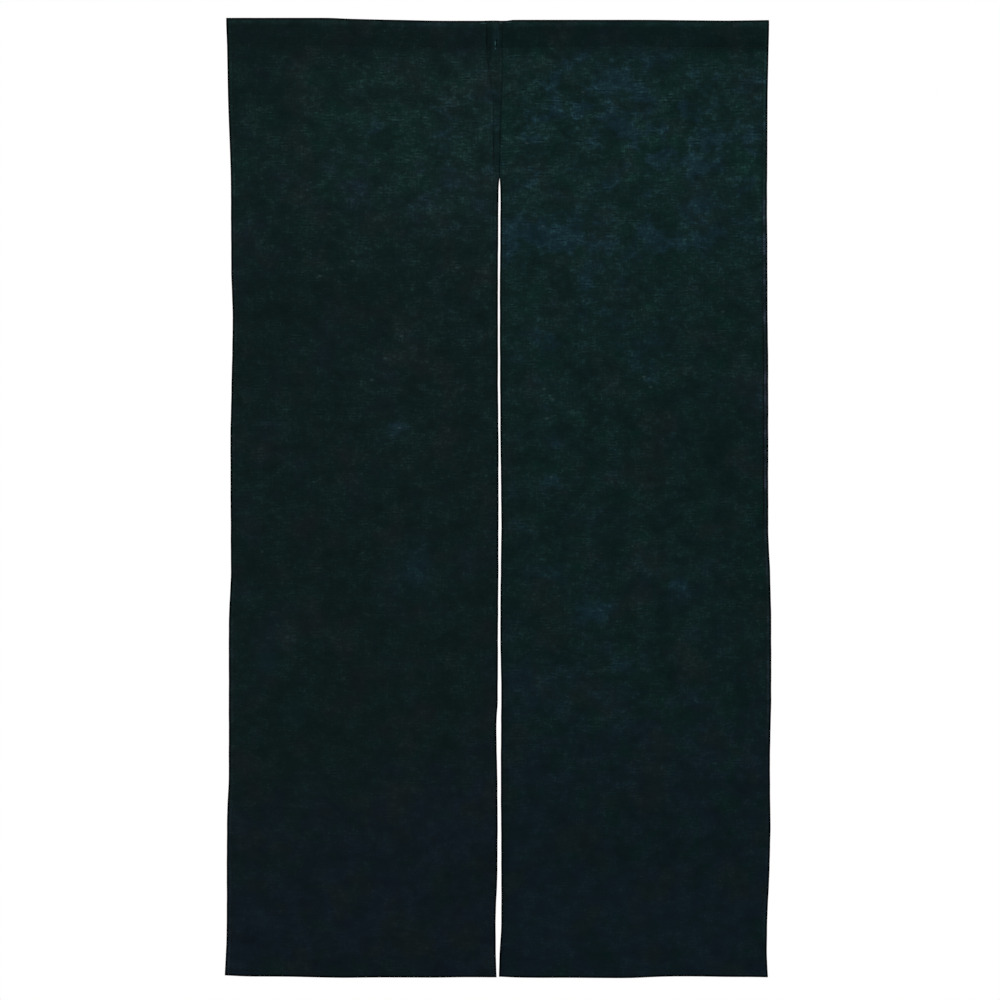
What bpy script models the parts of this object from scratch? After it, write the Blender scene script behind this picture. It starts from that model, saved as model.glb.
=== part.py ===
"""Noren curtain: two linen panels seamed together at the top and parted by a slit below.

Each panel is one solid: its cloth, its side, slit and bottom hems, and the top folded over to the back
as a rod pocket. Metres, +X to the viewer's right, -Y to the front, +Z up. The origin is on the hanging
line: the middle of the top edge, over the seam.
"""

import bpy
import numpy as np

# Driving dimensions
HEIGHT = 1.500
CLOTH = 0.0010
HEM_WIDTH = 0.0090
FOOT_HEM = 0.0100
HEM_EXTRA = 0.0010
HEM_STEP = 0.0008
EDGE_ROUND = 0.0007
EDGE_THIN = 0.25
PIECE_GAP = 0.0003

# Heading: the top is folded to the back and stitched down, open round a rod
POCKET_DROP = 0.0420
POCKET_RADIUS = 0.0080
POCKET_BULGE = 1.6
CROTCH_RISE = 0.0008
HEADING_DROP = 0.0440

# Seam: the right panel's allowance lies behind the left panel's edge
SEAM_FOOT = 0.2430
SEAM_HEAD = 0.0455
SLIT_HEAD = 0.2440
HEM_HEAD = 0.2475
SEAM_RAISE = 0.0008
SEAM_UNDERLAP = 0.0085

# Mesh spacing
COLUMN_SPACING = 0.0225
ROW_SPACING = 0.0365
SEAM_ROW_SPACING = 0.0280
POCKET_SIDE_STEPS = 5
POCKET_TOP_STEPS = 8

# Outline across the cloth: a row for each height, distances from the seam line
SECTION_COLUMNS = ("drop", "left_side", "slit_left", "slit_right", "right_side")
SECTIONS = (
    (0.000, -0.4277, -0.00015, 0.00015, 0.4216),
    (0.042, -0.4266, -0.00015, 0.00015, 0.4211),
    (0.125, -0.4250, -0.00015, 0.00015, 0.4195),
    (0.244, -0.4209, -0.00015, 0.00015, 0.4190),
    (0.262, -0.4206, -0.0013, 0.0012, 0.4187),
    (0.300, -0.4204, -0.0021, 0.0019, 0.4188),
    (0.439, -0.4183, -0.0029, 0.0011, 0.4193),
    (0.478, -0.4177, -0.0027, 0.0011, 0.4198),
    (0.556, -0.4191, -0.0028, 0.0014, 0.4205),
    (0.674, -0.4212, -0.0019, 0.0022, 0.4206),
    (0.791, -0.4208, -0.0020, 0.0034, 0.4206),
    (0.869, -0.4205, -0.0021, 0.0025, 0.4235),
    (0.948, -0.4237, -0.0027, 0.0019, 0.4252),
    (1.065, -0.4238, -0.0031, 0.0033, 0.4253),
    (1.104, -0.4237, -0.0053, 0.0030, 0.4242),
    (1.183, -0.4238, -0.0039, 0.0027, 0.4233),
    (1.261, -0.4266, -0.0033, 0.0030, 0.4241),
    (1.339, -0.4269, -0.0039, 0.0034, 0.4222),
    (1.418, -0.4270, -0.0065, 0.0034, 0.4189),
    (1.457, -0.4280, -0.0063, 0.0010, 0.4183),
    (1.500, -0.4300, -0.0048, -0.0003, 0.4202),
)

# Top and bottom edges: a row for each place across, heights above the two nominal edge lines
EDGE_COLUMNS = ("across", "top_rise", "foot_rise")
EDGES = (
    (-0.430, 0.0031, 0.0036),
    (-0.391, 0.0031, 0.0021),
    (-0.312, 0.0031, 0.0010),
    (-0.273, 0.0031, 0.0005),
    (-0.234, 0.0016, 0.0002),
    (-0.156, -0.0002, 0.0004),
    (-0.078, -0.0015, 0.0009),
    (0.000, -0.0015, 0.0010),
    (0.040, 0.0000, -0.0002),
    (0.118, 0.0000, -0.0008),
    (0.197, 0.0000, -0.0005),
    (0.236, -0.0001, 0.0007),
    (0.275, -0.0005, 0.0017),
    (0.314, -0.0009, 0.0020),
    (0.353, -0.0012, 0.0016),
    (0.422, -0.0004, 0.0004),
)

# Seam allowance, then the slit hem that carries it on down
SEAM_COLUMNS = ("drop", "width")
SEAM_WIDTHS = (
    (0.000, 0.0200),
    (0.050, 0.0200),
    (0.086, 0.0130),
    (0.120, 0.0094),
    (0.225, 0.0094),
    (0.250, HEM_WIDTH),
    (1.500, HEM_WIDTH),
)

# Soft upright folds, faint at the heading and full at the foot
FOLD_COLUMNS = ("across_top", "across_foot", "half_width", "to_front", "head_share")
FOLDS = (
    (-0.405, -0.392, 0.034, 0.0036, 0.10),
    (-0.338, -0.350, 0.042, -0.0042, 0.16),
    (-0.258, -0.244, 0.038, 0.0046, 0.20),
    (-0.186, -0.199, 0.044, -0.0030, 0.12),
    (-0.112, -0.098, 0.036, 0.0038, 0.22),
    (-0.048, -0.058, 0.030, -0.0022, 0.10),
    (0.042, 0.056, 0.034, 0.0028, 0.14),
    (0.118, 0.104, 0.046, -0.0044, 0.18),
    (0.196, 0.212, 0.036, 0.0040, 0.22),
    (0.268, 0.258, 0.040, -0.0034, 0.12),
    (0.338, 0.352, 0.042, 0.0044, 0.18),
    (0.402, 0.398, 0.026, -0.0026, 0.10),
)
FOLD_HEAD = 0.050
FOLD_FULL = 0.420

# Below the slit each panel swings a little on its own, most at the slit edge
LEFT_SWING = -0.0060
RIGHT_SWING = 0.0048
SWING_POWER = 1.6

# Colours, linear
LEFT_COLOUR = (0.0052, 0.0132, 0.0136, 1.0)
RIGHT_COLOUR = (0.0050, 0.0142, 0.0152, 1.0)
ROUGHNESS = 0.86


def clear_scene():
    for found in list(bpy.data.objects):
        bpy.data.objects.remove(found, do_unlink=True)


def table_value(columns, rows, name, at):
    """Reads one named column at any value of the first one, on a smooth curve that never overshoots."""
    stations = np.array([row[0] for row in rows])
    values = np.array([row[columns.index(name)] for row in rows])
    steps = np.diff(values) / np.diff(stations)
    before = steps[:-1]
    after = steps[1:]
    same_way = before * after > 0
    total = np.where(same_way, before + after, 1.0)
    inner = np.where(same_way, 2 * before * after / total, 0.0)
    slopes = np.concatenate([steps[:1], inner, steps[-1:]])
    at = np.clip(at, stations[0], stations[-1])
    low = np.clip(np.searchsorted(stations, at) - 1, 0, len(stations) - 2)
    span = stations[low + 1] - stations[low]
    t = (at - stations[low]) / span
    rise = values[low + 1] - values[low]
    bend = slopes[low] * span * t * (1 - t) ** 2 - slopes[low + 1] * span * t**2 * (1 - t)
    return values[low] + rise * t**2 * (3 - 2 * t) + bend


def ramp(value, start, end):
    """0 at start, 1 at end, with soft shoulders."""
    t = np.clip((value - start) / (end - start), 0.0, 1.0)
    return t * t * (3 - 2 * t)


def outline(name, drop):
    return table_value(SECTION_COLUMNS, SECTIONS, name, drop)


def seam_width(drop):
    return table_value(SEAM_COLUMNS, SEAM_WIDTHS, "width", drop)


def height_of(across, drop):
    """Turns a nominal drop into a height, so that the rows follow the uneven top and bottom edges."""
    share = drop / HEIGHT
    top = table_value(EDGE_COLUMNS, EDGES, "top_rise", across)
    foot = table_value(EDGE_COLUMNS, EDGES, "foot_rise", across)
    return -drop + top * (1 - share) + foot * share


def fold_depth(across, drop):
    """The cloth's middle, measured to the back: the sum of the soft folds."""
    growth = ramp(drop, FOLD_HEAD, HEIGHT)
    start = ramp(drop, FOLD_HEAD, FOLD_FULL)
    depth = np.zeros(np.shape(across))
    for across_top, across_foot, half_width, to_front, head_share in FOLDS:
        crest = across_top + (across_foot - across_top) * drop / HEIGHT
        size = to_front * (head_share * start + (1 - head_share) * growth)
        depth = depth - size * np.exp(-(((across - crest) / half_width) ** 2))
    return depth


def swing_depth(panel, across, drop):
    """How far one panel stands off the common surface below the slit."""
    low = outline(panel["low_edge"], drop)
    high = outline(panel["high_edge"], drop)
    share = (across - low) / (high - low)
    if panel["slit_side"] == "low":
        share = 1 - share
    below = np.clip((drop - SLIT_HEAD) / (HEIGHT - SLIT_HEAD), 0.0, 1.0)
    return panel["swing"] * np.clip(share, 0.0, 1.0) ** 2 * below**SWING_POWER


def middle_depth(panel, across, drop):
    return fold_depth(across, drop) + swing_depth(panel, across, drop)


def column_places(panel):
    """Columns from the low edge to the high one: share of the width, then how many hem or edge steps in."""
    width = abs(outline(panel["high_edge"], 0.0) - outline(panel["low_edge"], 0.0))
    count = int(round((width - 2 * HEM_WIDTH) / COLUMN_SPACING))
    low = [(0.0, "edge"), (0.0, "round"), (0.0, "hem"), (0.0, "step")]
    high = [(1.0, "step"), (1.0, "hem"), (1.0, "round"), (1.0, "edge")]
    between = [(i / count, "free") for i in range(1, count)]
    return low + between + high


def inset_of(panel, share, role, drop):
    """How far in from its own edge a column stands, positive towards +X."""
    on_slit = (share == 0.0) == (panel["slit_side"] == "low")
    hem = seam_width(drop) if on_slit and panel["seam_lap"] else np.full(np.shape(drop), HEM_WIDTH)
    inset = {"edge": 0 * hem, "round": 0 * hem + EDGE_ROUND, "hem": hem, "step": hem + HEM_STEP}[role]
    return inset if share == 0.0 else -inset


def across_of(panel, share, role, drop):
    low = outline(panel["low_edge"], drop)
    high = outline(panel["high_edge"], drop)
    if role != "free":
        return low + share * (high - low) + inset_of(panel, share, role, drop)
    low_in = low + inset_of(panel, 0.0, "step", drop)
    high_in = high + inset_of(panel, 1.0, "step", drop)
    return low_in + share * (high_in - low_in)


def row_drops():
    """Nominal drops from the foot up to the pocket's stitch line."""
    foot = [HEIGHT, HEIGHT - EDGE_ROUND, HEIGHT - FOOT_HEM, HEIGHT - FOOT_HEM - HEM_STEP]
    lower = evenly(foot[-1], HEM_HEAD + 0.004, ROW_SPACING)
    slit = [HEM_HEAD, SLIT_HEAD, SEAM_FOOT - 0.004]
    upper = evenly(slit[-1], HEADING_DROP + HEM_STEP, SEAM_ROW_SPACING)
    return np.array(foot + lower + slit + upper + [HEADING_DROP, POCKET_DROP])


def evenly(start, end, spacing):
    """Values after start, the last one on end, about one spacing apart."""
    count = max(1, int(round(abs(end - start) / spacing)))
    return [start + (end - start) * (i + 1) / count for i in range(count)]


def lap_raise(panel, share, role, drop):
    """How far the left panel's seam edge is lifted to the front by the allowance behind it."""
    lapped = panel["seam_lap"] and share == 1.0 and role != "step" and role != "free"
    return SEAM_RAISE * (1 - ramp(drop, SEAM_FOOT, HEM_HEAD)) * (1.0 if lapped else 0.0)


def hem_extra(share, role, panel, drop):
    """How much thicker the cloth is here, on its back."""
    hemmed = 0.0 if role in ("free", "step") else 1.0
    on_slit = (share == 0.0) == (panel["slit_side"] == "low")
    if on_slit:
        hemmed = hemmed * ramp(drop, SLIT_HEAD, HEM_HEAD)
    in_foot = np.where(drop > HEIGHT - FOOT_HEM - HEM_STEP / 2, 1.0, 0.0)
    in_heading = np.where(drop < HEADING_DROP + HEM_STEP / 2, 1.0, 0.0)
    return HEM_EXTRA * np.maximum(np.maximum(hemmed, in_foot), in_heading)


def sheet_column(panel, share, role, drops):
    """Front and back points of one column, from the foot up to the stitch line."""
    across = across_of(panel, share, role, drops)
    heights = height_of(across, drops)
    middle = middle_depth(panel, across, drops)
    thickness = CLOTH + hem_extra(share, role, panel, drops)
    front = middle - CLOTH / 2 - lap_raise(panel, share, role, drops)
    back = middle - CLOTH / 2 + thickness
    back = back - lap_raise(panel, share, role, drops) * np.where(drops > HEADING_DROP + HEM_STEP / 2, 1, 0)
    at_edge = np.where((drops > HEIGHT - EDGE_ROUND / 2) | (role == "edge"), 1.0, 0.0)
    thin = EDGE_THIN * (back - front) * at_edge
    fronts = np.column_stack([across, front + thin, heights])
    backs = np.column_stack([across, back - thin, heights])
    return fronts, backs


def pocket_path():
    """The pocket's cloth middle from its front stitch over the rod to its back stitch: depth and drop."""
    top = CLOTH / 2 + POCKET_RADIUS
    side_drops = np.linspace(POCKET_DROP, top, POCKET_SIDE_STEPS + 1)[:-1]
    share = (side_drops - top) / (POCKET_DROP - top)
    half = POCKET_RADIUS - (POCKET_RADIUS - CLOTH / 2) * share**POCKET_BULGE
    angles = np.linspace(0.0, np.pi, POCKET_TOP_STEPS + 1)
    over_depth = -POCKET_RADIUS * np.cos(angles)
    over_drop = top - POCKET_RADIUS * np.sin(angles)
    depth = np.concatenate([-half, over_depth, half[::-1]])
    drop = np.concatenate([side_drops, over_drop, side_drops[::-1]])
    return depth, drop


def pocket_column(panel, share, role):
    """Outer and inner points of the pocket, both from the front stitch over the top to the back."""
    depth, drop = pocket_path()
    along_depth = np.gradient(depth)
    along_drop = np.gradient(drop)
    length = np.hypot(along_depth, along_drop)
    out_depth = along_drop / length
    out_drop = -along_depth / length
    wall = CLOTH * (1 - 2 * EDGE_THIN) if role == "edge" else CLOTH
    raised = lap_raise(panel, share, role, drop) * np.clip(-depth / POCKET_RADIUS * 2, 0.0, 1.0)
    rings = []
    for side in (0.5, -0.5):
        ring_depth = depth + side * wall * out_depth
        ring_drop = drop + side * wall * out_drop
        across = across_of(panel, share, role, ring_drop)
        middle = middle_depth(panel, across, ring_drop) + CLOTH / 2
        rings.append(np.column_stack([across, middle + ring_depth - raised, height_of(across, ring_drop)]))
    outer, inner = rings
    crotch = 0.5 * (inner[0] + inner[-1])
    crotch[2] = crotch[2] + CROTCH_RISE
    return outer[1:-1], np.vstack([crotch, inner[1:-1]])


def panel_mesh(panel):
    """Points and faces of one closed panel."""
    drops = row_drops()
    places = column_places(panel)
    rows = len(drops)
    points = []
    for share, role in places:
        fronts, backs = sheet_column(panel, share, role, drops)
        outer, inner = pocket_column(panel, share, role)
        points.append(np.vstack([fronts, outer, backs[::-1], inner]))
    over = len(outer)
    around = 2 * rows + over
    inside = len(inner)
    size = around + inside
    faces = []
    for j in range(len(places) - 1):
        this = j * size
        beside = this + size
        for i in range(around):
            k = (i + 1) % around
            faces.append((this + i, beside + i, beside + k, this + k))
        for i in range(inside):
            k = (i + 1) % inside
            faces.append((this + around + k, beside + around + k, beside + around + i, this + around + i))
    faces += end_cap(0, rows, over, around, False)
    faces += end_cap((len(places) - 1) * size, rows, over, around, True)
    return np.vstack(points), faces


def end_cap(start, rows, over, around, turned):
    """Closes one end: a ladder up the sheet, a triangle at the stitch line and a ladder round the pocket."""
    back_foot = around - 1
    cap = [(i, i + 1, back_foot - i - 1, back_foot - i) for i in range(rows - 1)]
    outer = [rows - 1 + i for i in range(over + 2)]
    inner = [around] + [around + 1 + i for i in range(over)] + [around]
    cap.append((outer[0], inner[0], outer[-1]))
    cap += [(outer[k], outer[k + 1], inner[k + 1], inner[k]) for k in range(over + 1)]
    placed = [tuple(start + corner for corner in face) for face in cap]
    return [face[::-1] for face in placed] if turned else placed


def allowance_mesh(panel):
    """The right panel's seam allowance: a strip that runs from behind its edge to behind the left panel."""
    drops = np.array([drop for drop in row_drops() if SEAM_HEAD < drop < SEAM_FOOT])
    drops = np.concatenate([[SEAM_FOOT], drops, [SEAM_HEAD]])
    tip = -seam_width(drops) + 2 * PIECE_GAP
    near = tip + EDGE_ROUND
    root = np.full(len(drops), SEAM_UNDERLAP)
    points = []
    for across, thin in ((tip, EDGE_THIN), (near, 0.0), (0.5 * near, 0.0), (root, 0.0)):
        front = fold_depth(across, drops) + CLOTH / 2 - SEAM_RAISE + PIECE_GAP
        heights = height_of(across, drops)
        fronts = np.column_stack([across, front + thin * CLOTH, heights])
        backs = np.column_stack([across, front + CLOTH * (1 - thin), heights])
        points.append(np.vstack([fronts, backs[::-1]]))
    size = 2 * len(drops)
    faces = []
    for j in range(3):
        for i in range(size):
            k = (i + 1) % size
            faces.append((j * size + i, (j + 1) * size + i, (j + 1) * size + k, j * size + k))
    cap = [(i, i + 1, size - 2 - i, size - 1 - i) for i in range(len(drops) - 1)]
    faces += cap
    faces += [tuple(3 * size + corner for corner in face[::-1]) for face in cap]
    return np.vstack(points), faces


def add_object(name, points, faces):
    mesh = bpy.data.meshes.new(name)
    mesh.from_pydata([tuple(point) for point in points], [], faces)
    mesh.validate()
    mesh.update()
    made = bpy.data.objects.new(name, mesh)
    bpy.context.scene.collection.objects.link(made)
    return made


def add_material(name, colour):
    material = bpy.data.materials.new(name)
    material.use_nodes = True
    shader = material.node_tree.nodes["Principled BSDF"]
    shader.inputs["Base Color"].default_value = colour
    shader.inputs["Roughness"].default_value = ROUGHNESS
    shader.inputs["Metallic"].default_value = 0.0
    return material


def build_left_panel():
    panel = {
        "low_edge": "left_side",
        "high_edge": "slit_left",
        "slit_side": "high",
        "seam_lap": True,
        "swing": LEFT_SWING,
    }
    made = add_object("left_panel", *panel_mesh(panel))
    made.data.materials.append(add_material("left_cloth", LEFT_COLOUR))


def build_right_panel():
    panel = {
        "low_edge": "slit_right",
        "high_edge": "right_side",
        "slit_side": "low",
        "seam_lap": False,
        "swing": RIGHT_SWING,
    }
    made = add_object("right_panel", *panel_mesh(panel))
    made.data.materials.append(add_material("right_cloth", RIGHT_COLOUR))
    allowance = add_object("seam_allowance_strip", *allowance_mesh(panel))
    allowance.hide_render = True
    allowance.display_type = "WIRE"
    join = made.modifiers.new("join seam allowance", "BOOLEAN")
    join.operation = "UNION"
    join.solver = "EXACT"
    join.object = allowance


def main():
    clear_scene()
    build_left_panel()
    build_right_panel()


main()
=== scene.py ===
"""Noren curtain, finished: two dark indigo linen panels, seamed at the head and parted by a slit below.

The file is laid out as an add-on and run as a script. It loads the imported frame, puts finely meshed linen
on each CAD panel, sews the hems, the seam and the rod pocket with thread, and sets out a plain stage.
Metres, +X to the viewer's right, -Y to the front, +Z up, the origin on the hanging line over the seam.
"""

import bpy
import numpy as np
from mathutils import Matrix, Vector


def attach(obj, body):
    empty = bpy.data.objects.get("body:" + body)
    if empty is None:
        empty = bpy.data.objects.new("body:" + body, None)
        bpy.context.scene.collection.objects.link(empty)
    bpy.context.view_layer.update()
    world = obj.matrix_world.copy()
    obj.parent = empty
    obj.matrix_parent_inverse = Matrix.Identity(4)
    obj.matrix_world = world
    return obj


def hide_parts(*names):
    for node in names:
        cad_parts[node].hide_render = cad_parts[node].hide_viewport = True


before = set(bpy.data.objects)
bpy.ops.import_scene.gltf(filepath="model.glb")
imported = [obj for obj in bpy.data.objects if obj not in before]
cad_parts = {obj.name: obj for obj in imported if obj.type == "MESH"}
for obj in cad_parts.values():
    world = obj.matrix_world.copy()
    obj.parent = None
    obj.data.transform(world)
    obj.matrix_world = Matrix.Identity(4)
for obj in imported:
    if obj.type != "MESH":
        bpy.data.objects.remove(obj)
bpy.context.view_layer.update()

bl_info = {
    "name": "Noren curtain",
    "version": (1, 0, 0),
    "blender": (4, 5, 0),
    "location": "3D View > Sidebar > Noren",
    "description": "Makes a seamed and slit linen noren curtain with a rod pocket, hems and stitching",
    "category": "Object",
}

# The CAD's own shape: its heights, heading and seam
HEIGHT = 1.500
FRONT_FROM_MIDDLE = 0.0005
POCKET_DROP = 0.0420
POCKET_RADIUS = 0.0080
POCKET_TOP = 0.0085
POCKET_BULGE = 1.6
HEADING_DROP = 0.0440
SEAM_FOOT = 0.2430
SEAM_HEAD = 0.0455
SLIT_HEAD = 0.2440
HEM_HEAD = 0.2475

# Outline across the cloth: a row for each height, distances from the seam line
SECTION_COLUMNS = ("drop", "left_side", "slit_left", "slit_right", "right_side")
SECTIONS = (
    (0.000, -0.4277, -0.00015, 0.00015, 0.4216),
    (0.042, -0.4266, -0.00015, 0.00015, 0.4211),
    (0.125, -0.4250, -0.00015, 0.00015, 0.4195),
    (0.244, -0.4209, -0.00015, 0.00015, 0.4190),
    (0.262, -0.4206, -0.0013, 0.0012, 0.4187),
    (0.300, -0.4204, -0.0021, 0.0019, 0.4188),
    (0.392, -0.4200, -0.0027, 0.0013, 0.4193),
    (0.439, -0.4184, -0.0029, 0.0011, 0.4193),
    (0.478, -0.4177, -0.0027, 0.0011, 0.4198),
    (0.556, -0.4191, -0.0028, 0.0014, 0.4205),
    (0.674, -0.4212, -0.0019, 0.0022, 0.4206),
    (0.791, -0.4208, -0.0020, 0.0034, 0.4206),
    (0.869, -0.4205, -0.0021, 0.0025, 0.4235),
    (0.948, -0.4237, -0.0027, 0.0019, 0.4252),
    (1.065, -0.4238, -0.0031, 0.0033, 0.4253),
    (1.104, -0.4237, -0.0053, 0.0030, 0.4242),
    (1.183, -0.4238, -0.0039, 0.0027, 0.4233),
    (1.261, -0.4266, -0.0033, 0.0030, 0.4241),
    (1.339, -0.4269, -0.0039, 0.0034, 0.4222),
    (1.418, -0.4270, -0.0065, 0.0034, 0.4189),
    (1.457, -0.4280, -0.0063, 0.0010, 0.4183),
    (1.500, -0.4300, -0.0048, -0.0003, 0.4202),
)

# How far the rounded folds stand out past those lines
FOLD_OUT = {"left_side": -0.00030, "slit_left": 0.00045, "slit_right": -0.00060, "right_side": 0.00055}
TOP_OUT = 0.0005
FOOT_OUT = 0.0004

# Top and bottom edges: a row for each place across, heights above the two nominal edge lines
EDGE_COLUMNS = ("across", "top_rise", "foot_rise")
EDGES = (
    (-0.430, 0.0031, 0.0036),
    (-0.391, 0.0031, 0.0021),
    (-0.312, 0.0031, 0.0010),
    (-0.273, 0.0031, 0.0005),
    (-0.234, 0.0016, 0.0002),
    (-0.156, -0.0002, 0.0004),
    (-0.078, -0.0015, 0.0009),
    (0.000, -0.0015, 0.0010),
    (0.011, -0.0014, 0.0006),
    (0.020, -0.0001, 0.0002),
    (0.040, 0.0000, -0.0002),
    (0.118, 0.0000, -0.0008),
    (0.197, 0.0000, -0.0005),
    (0.236, -0.0001, 0.0007),
    (0.275, -0.0005, 0.0017),
    (0.314, -0.0009, 0.0020),
    (0.353, -0.0012, 0.0016),
    (0.422, -0.0004, 0.0004),
)

# Soft upright folds, faint at the heading and full at the foot: across at the top and at the foot, half
# width, distance to the front, and the share of it that is there by FOLD_FULL
FOLDS = (
    (-0.405, -0.392, 0.034, 0.0036, 0.10),
    (-0.338, -0.350, 0.042, -0.0042, 0.16),
    (-0.258, -0.244, 0.038, 0.0046, 0.20),
    (-0.186, -0.199, 0.044, -0.0030, 0.12),
    (-0.112, -0.098, 0.036, 0.0038, 0.22),
    (-0.048, -0.058, 0.030, -0.0022, 0.10),
    (0.042, 0.056, 0.034, 0.0028, 0.14),
    (0.118, 0.104, 0.046, -0.0044, 0.18),
    (0.196, 0.212, 0.036, 0.0040, 0.22),
    (0.268, 0.258, 0.040, -0.0034, 0.12),
    (0.338, 0.352, 0.042, 0.0044, 0.18),
    (0.402, 0.398, 0.026, -0.0026, 0.10),
)
FOLD_HEAD = 0.050
FOLD_FULL = 0.420
SWING_POWER = 1.6

# Seam: how far the left panel's edge laps to the right, and its stitch line's distance in from that edge
SEAM_COLUMNS = ("drop", "lap", "stitch")
SEAM = (
    (0.000, 0.0048, 0.0247),
    (0.047, 0.0048, 0.0245),
    (0.080, 0.0047, 0.0205),
    (0.103, 0.0045, 0.0173),
    (0.122, 0.0038, 0.0136),
    (0.150, 0.0024, 0.0118),
    (0.200, 0.0012, 0.0105),
    (0.228, 0.0006, 0.0094),
    (0.238, 0.0005, 0.0056),
    (0.244, 0.0005, 0.0042),
    (0.2478, 0.0003, 0.0070),
    (0.2495, 0.0000, 0.0080),
    (1.500, 0.0000, 0.0080),
)
LAP_LET_GO = 0.2455
LAP_FREE = 0.2505
LAP_RAISE = 0.00095
LAP_BACK_RAISE = 0.00082
FLAP_PAST_STITCH = 0.0008
FLAP_THICKNESS = 0.0011

# How far the dye has faded and how unevenly the yarn shows: a row for each height
FADE_COLUMNS = ("drop", "left_outer", "left_inner", "right_inner", "right_outer")
FADE = (
    (0.000, 0.06, 0.08, 0.10, 0.08),
    (0.034, 0.07, 0.10, 0.13, 0.11),
    (0.062, 0.33, 0.68, 0.86, 0.78),
    (0.130, 0.43, 0.96, 1.14, 1.02),
    (0.250, 0.37, 0.76, 1.00, 0.92),
    (0.400, 0.31, 0.44, 0.76, 0.72),
    (0.600, 0.28, 0.34, 0.54, 0.48),
    (0.800, 0.22, 0.26, 0.44, 0.42),
    (1.000, 0.18, 0.20, 0.38, 0.36),
    (1.150, 0.13, 0.13, 0.22, 0.20),
    (1.300, 0.07, 0.07, 0.10, 0.10),
    (1.500, 0.06, 0.06, 0.09, 0.09),
)
FADE_OUTER = 0.36
FADE_INNER = 0.08

# Patches in the dye: centre, half size, then how faded, blue and green each is
PATCHES = (
    (0.077, 0.136, 0.070, 0.047, 0.22, 0.30, 0.00),
    (0.311, 0.160, 0.105, 0.088, 0.12, 0.34, 0.00),
    (0.063, 0.341, 0.056, 0.029, 0.10, 0.75, 0.00),
    (0.261, 0.347, 0.061, 0.029, 0.08, 0.55, 0.00),
    (0.132, 0.414, 0.010, 0.009, 0.45, 0.45, 0.00),
    (0.165, 0.455, 0.018, 0.015, 0.30, 0.40, 0.00),
    (0.211, 0.523, 0.041, 0.042, 0.05, 0.40, 0.00),
    (0.071, 0.516, 0.017, 0.029, 0.05, 0.40, 0.00),
    (0.083, 0.718, 0.012, 0.009, 0.45, 0.85, 0.00),
    (0.027, 0.789, 0.020, 0.018, 0.05, 0.50, 0.00),
    (0.092, 0.868, 0.020, 0.020, 0.15, 0.65, 0.00),
    (0.147, 0.924, 0.024, 0.018, 0.45, 0.90, 0.00),
    (0.235, 0.833, 0.012, 0.009, 0.15, 0.55, 0.00),
    (0.279, 0.883, 0.015, 0.012, 0.35, 0.60, 0.00),
    (0.205, 1.014, 0.046, 0.020, 0.22, 0.25, 0.00),
    (0.136, 1.072, 0.128, 0.073, 0.00, 0.28, 0.00),
    (-0.066, 0.175, 0.056, 0.085, 0.16, 0.26, 0.00),
    (-0.189, 0.172, 0.027, 0.018, 0.10, 0.36, 0.00),
    (-0.092, 0.215, 0.018, 0.015, 0.25, 0.20, 0.00),
    (-0.163, 0.640, 0.018, 0.012, 0.20, 0.80, 0.00),
    (-0.132, 0.862, 0.032, 0.044, 0.06, 0.65, 0.00),
    (-0.360, 1.011, 0.020, 0.018, 0.08, 0.55, 0.00),
    (-0.324, 1.087, 0.027, 0.024, 0.06, 0.45, 0.00),
    (-0.262, 0.438, 0.118, 0.073, -0.18, 0.00, 0.00),
    (-0.362, 0.101, 0.042, 0.059, -0.26, 0.00, 0.00),
    (-0.290, 0.190, 0.160, 0.150, 0.14, 0.00, 0.42),
    (-0.120, 0.250, 0.080, 0.110, 0.05, 0.00, 0.22),
    (0.240, 0.210, 0.050, 0.040, 0.05, 0.00, 0.55),
    (0.060, 0.055, 0.045, 0.022, 0.10, 0.00, 0.45),
    (0.390, 0.225, 0.022, 0.040, 0.05, 0.00, 0.50),
    (0.120, 0.330, 0.040, 0.060, 0.00, 0.00, 0.30),
    (-0.005, 0.190, 0.010, 0.080, 0.00, 0.35, 0.00),
    (0.322, 0.671, 0.088, 0.073, -0.22, 0.00, 0.10),
    (0.273, 1.090, 0.049, 0.027, 0.04, 0.00, 0.55),
    (0.360, 1.140, 0.015, 0.076, 0.04, 0.00, 0.50),
    (0.284, 1.435, 0.038, 0.027, 0.02, 0.00, 0.40),
    (0.052, 0.460, 0.014, 0.030, 0.38, 0.00, 0.10),
    (0.069, 0.590, 0.015, 0.024, 0.38, 0.00, 0.00),
    (0.075, 0.624, 0.013, 0.013, 0.36, 0.00, 0.00),
    (0.230, 0.566, 0.015, 0.018, 0.50, 0.00, 0.00),
    (0.115, 0.610, 0.012, 0.013, 0.30, 0.00, 0.00),
    (0.285, 0.700, 0.020, 0.015, 0.34, 0.00, 0.00),
    (-0.157, 0.642, 0.032, 0.020, 0.32, 0.00, 0.00),
    (-0.150, 0.495, 0.022, 0.024, 0.36, 0.00, 0.00),
    (-0.195, 0.566, 0.020, 0.016, 0.32, 0.00, 0.00),
    (-0.275, 0.392, 0.036, 0.014, 0.30, 0.00, 0.00),
    (-0.228, 0.360, 0.024, 0.030, 0.26, 0.00, 0.00),
    (-0.331, 0.975, 0.011, 0.030, 0.32, 0.00, 0.00),
)
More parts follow.
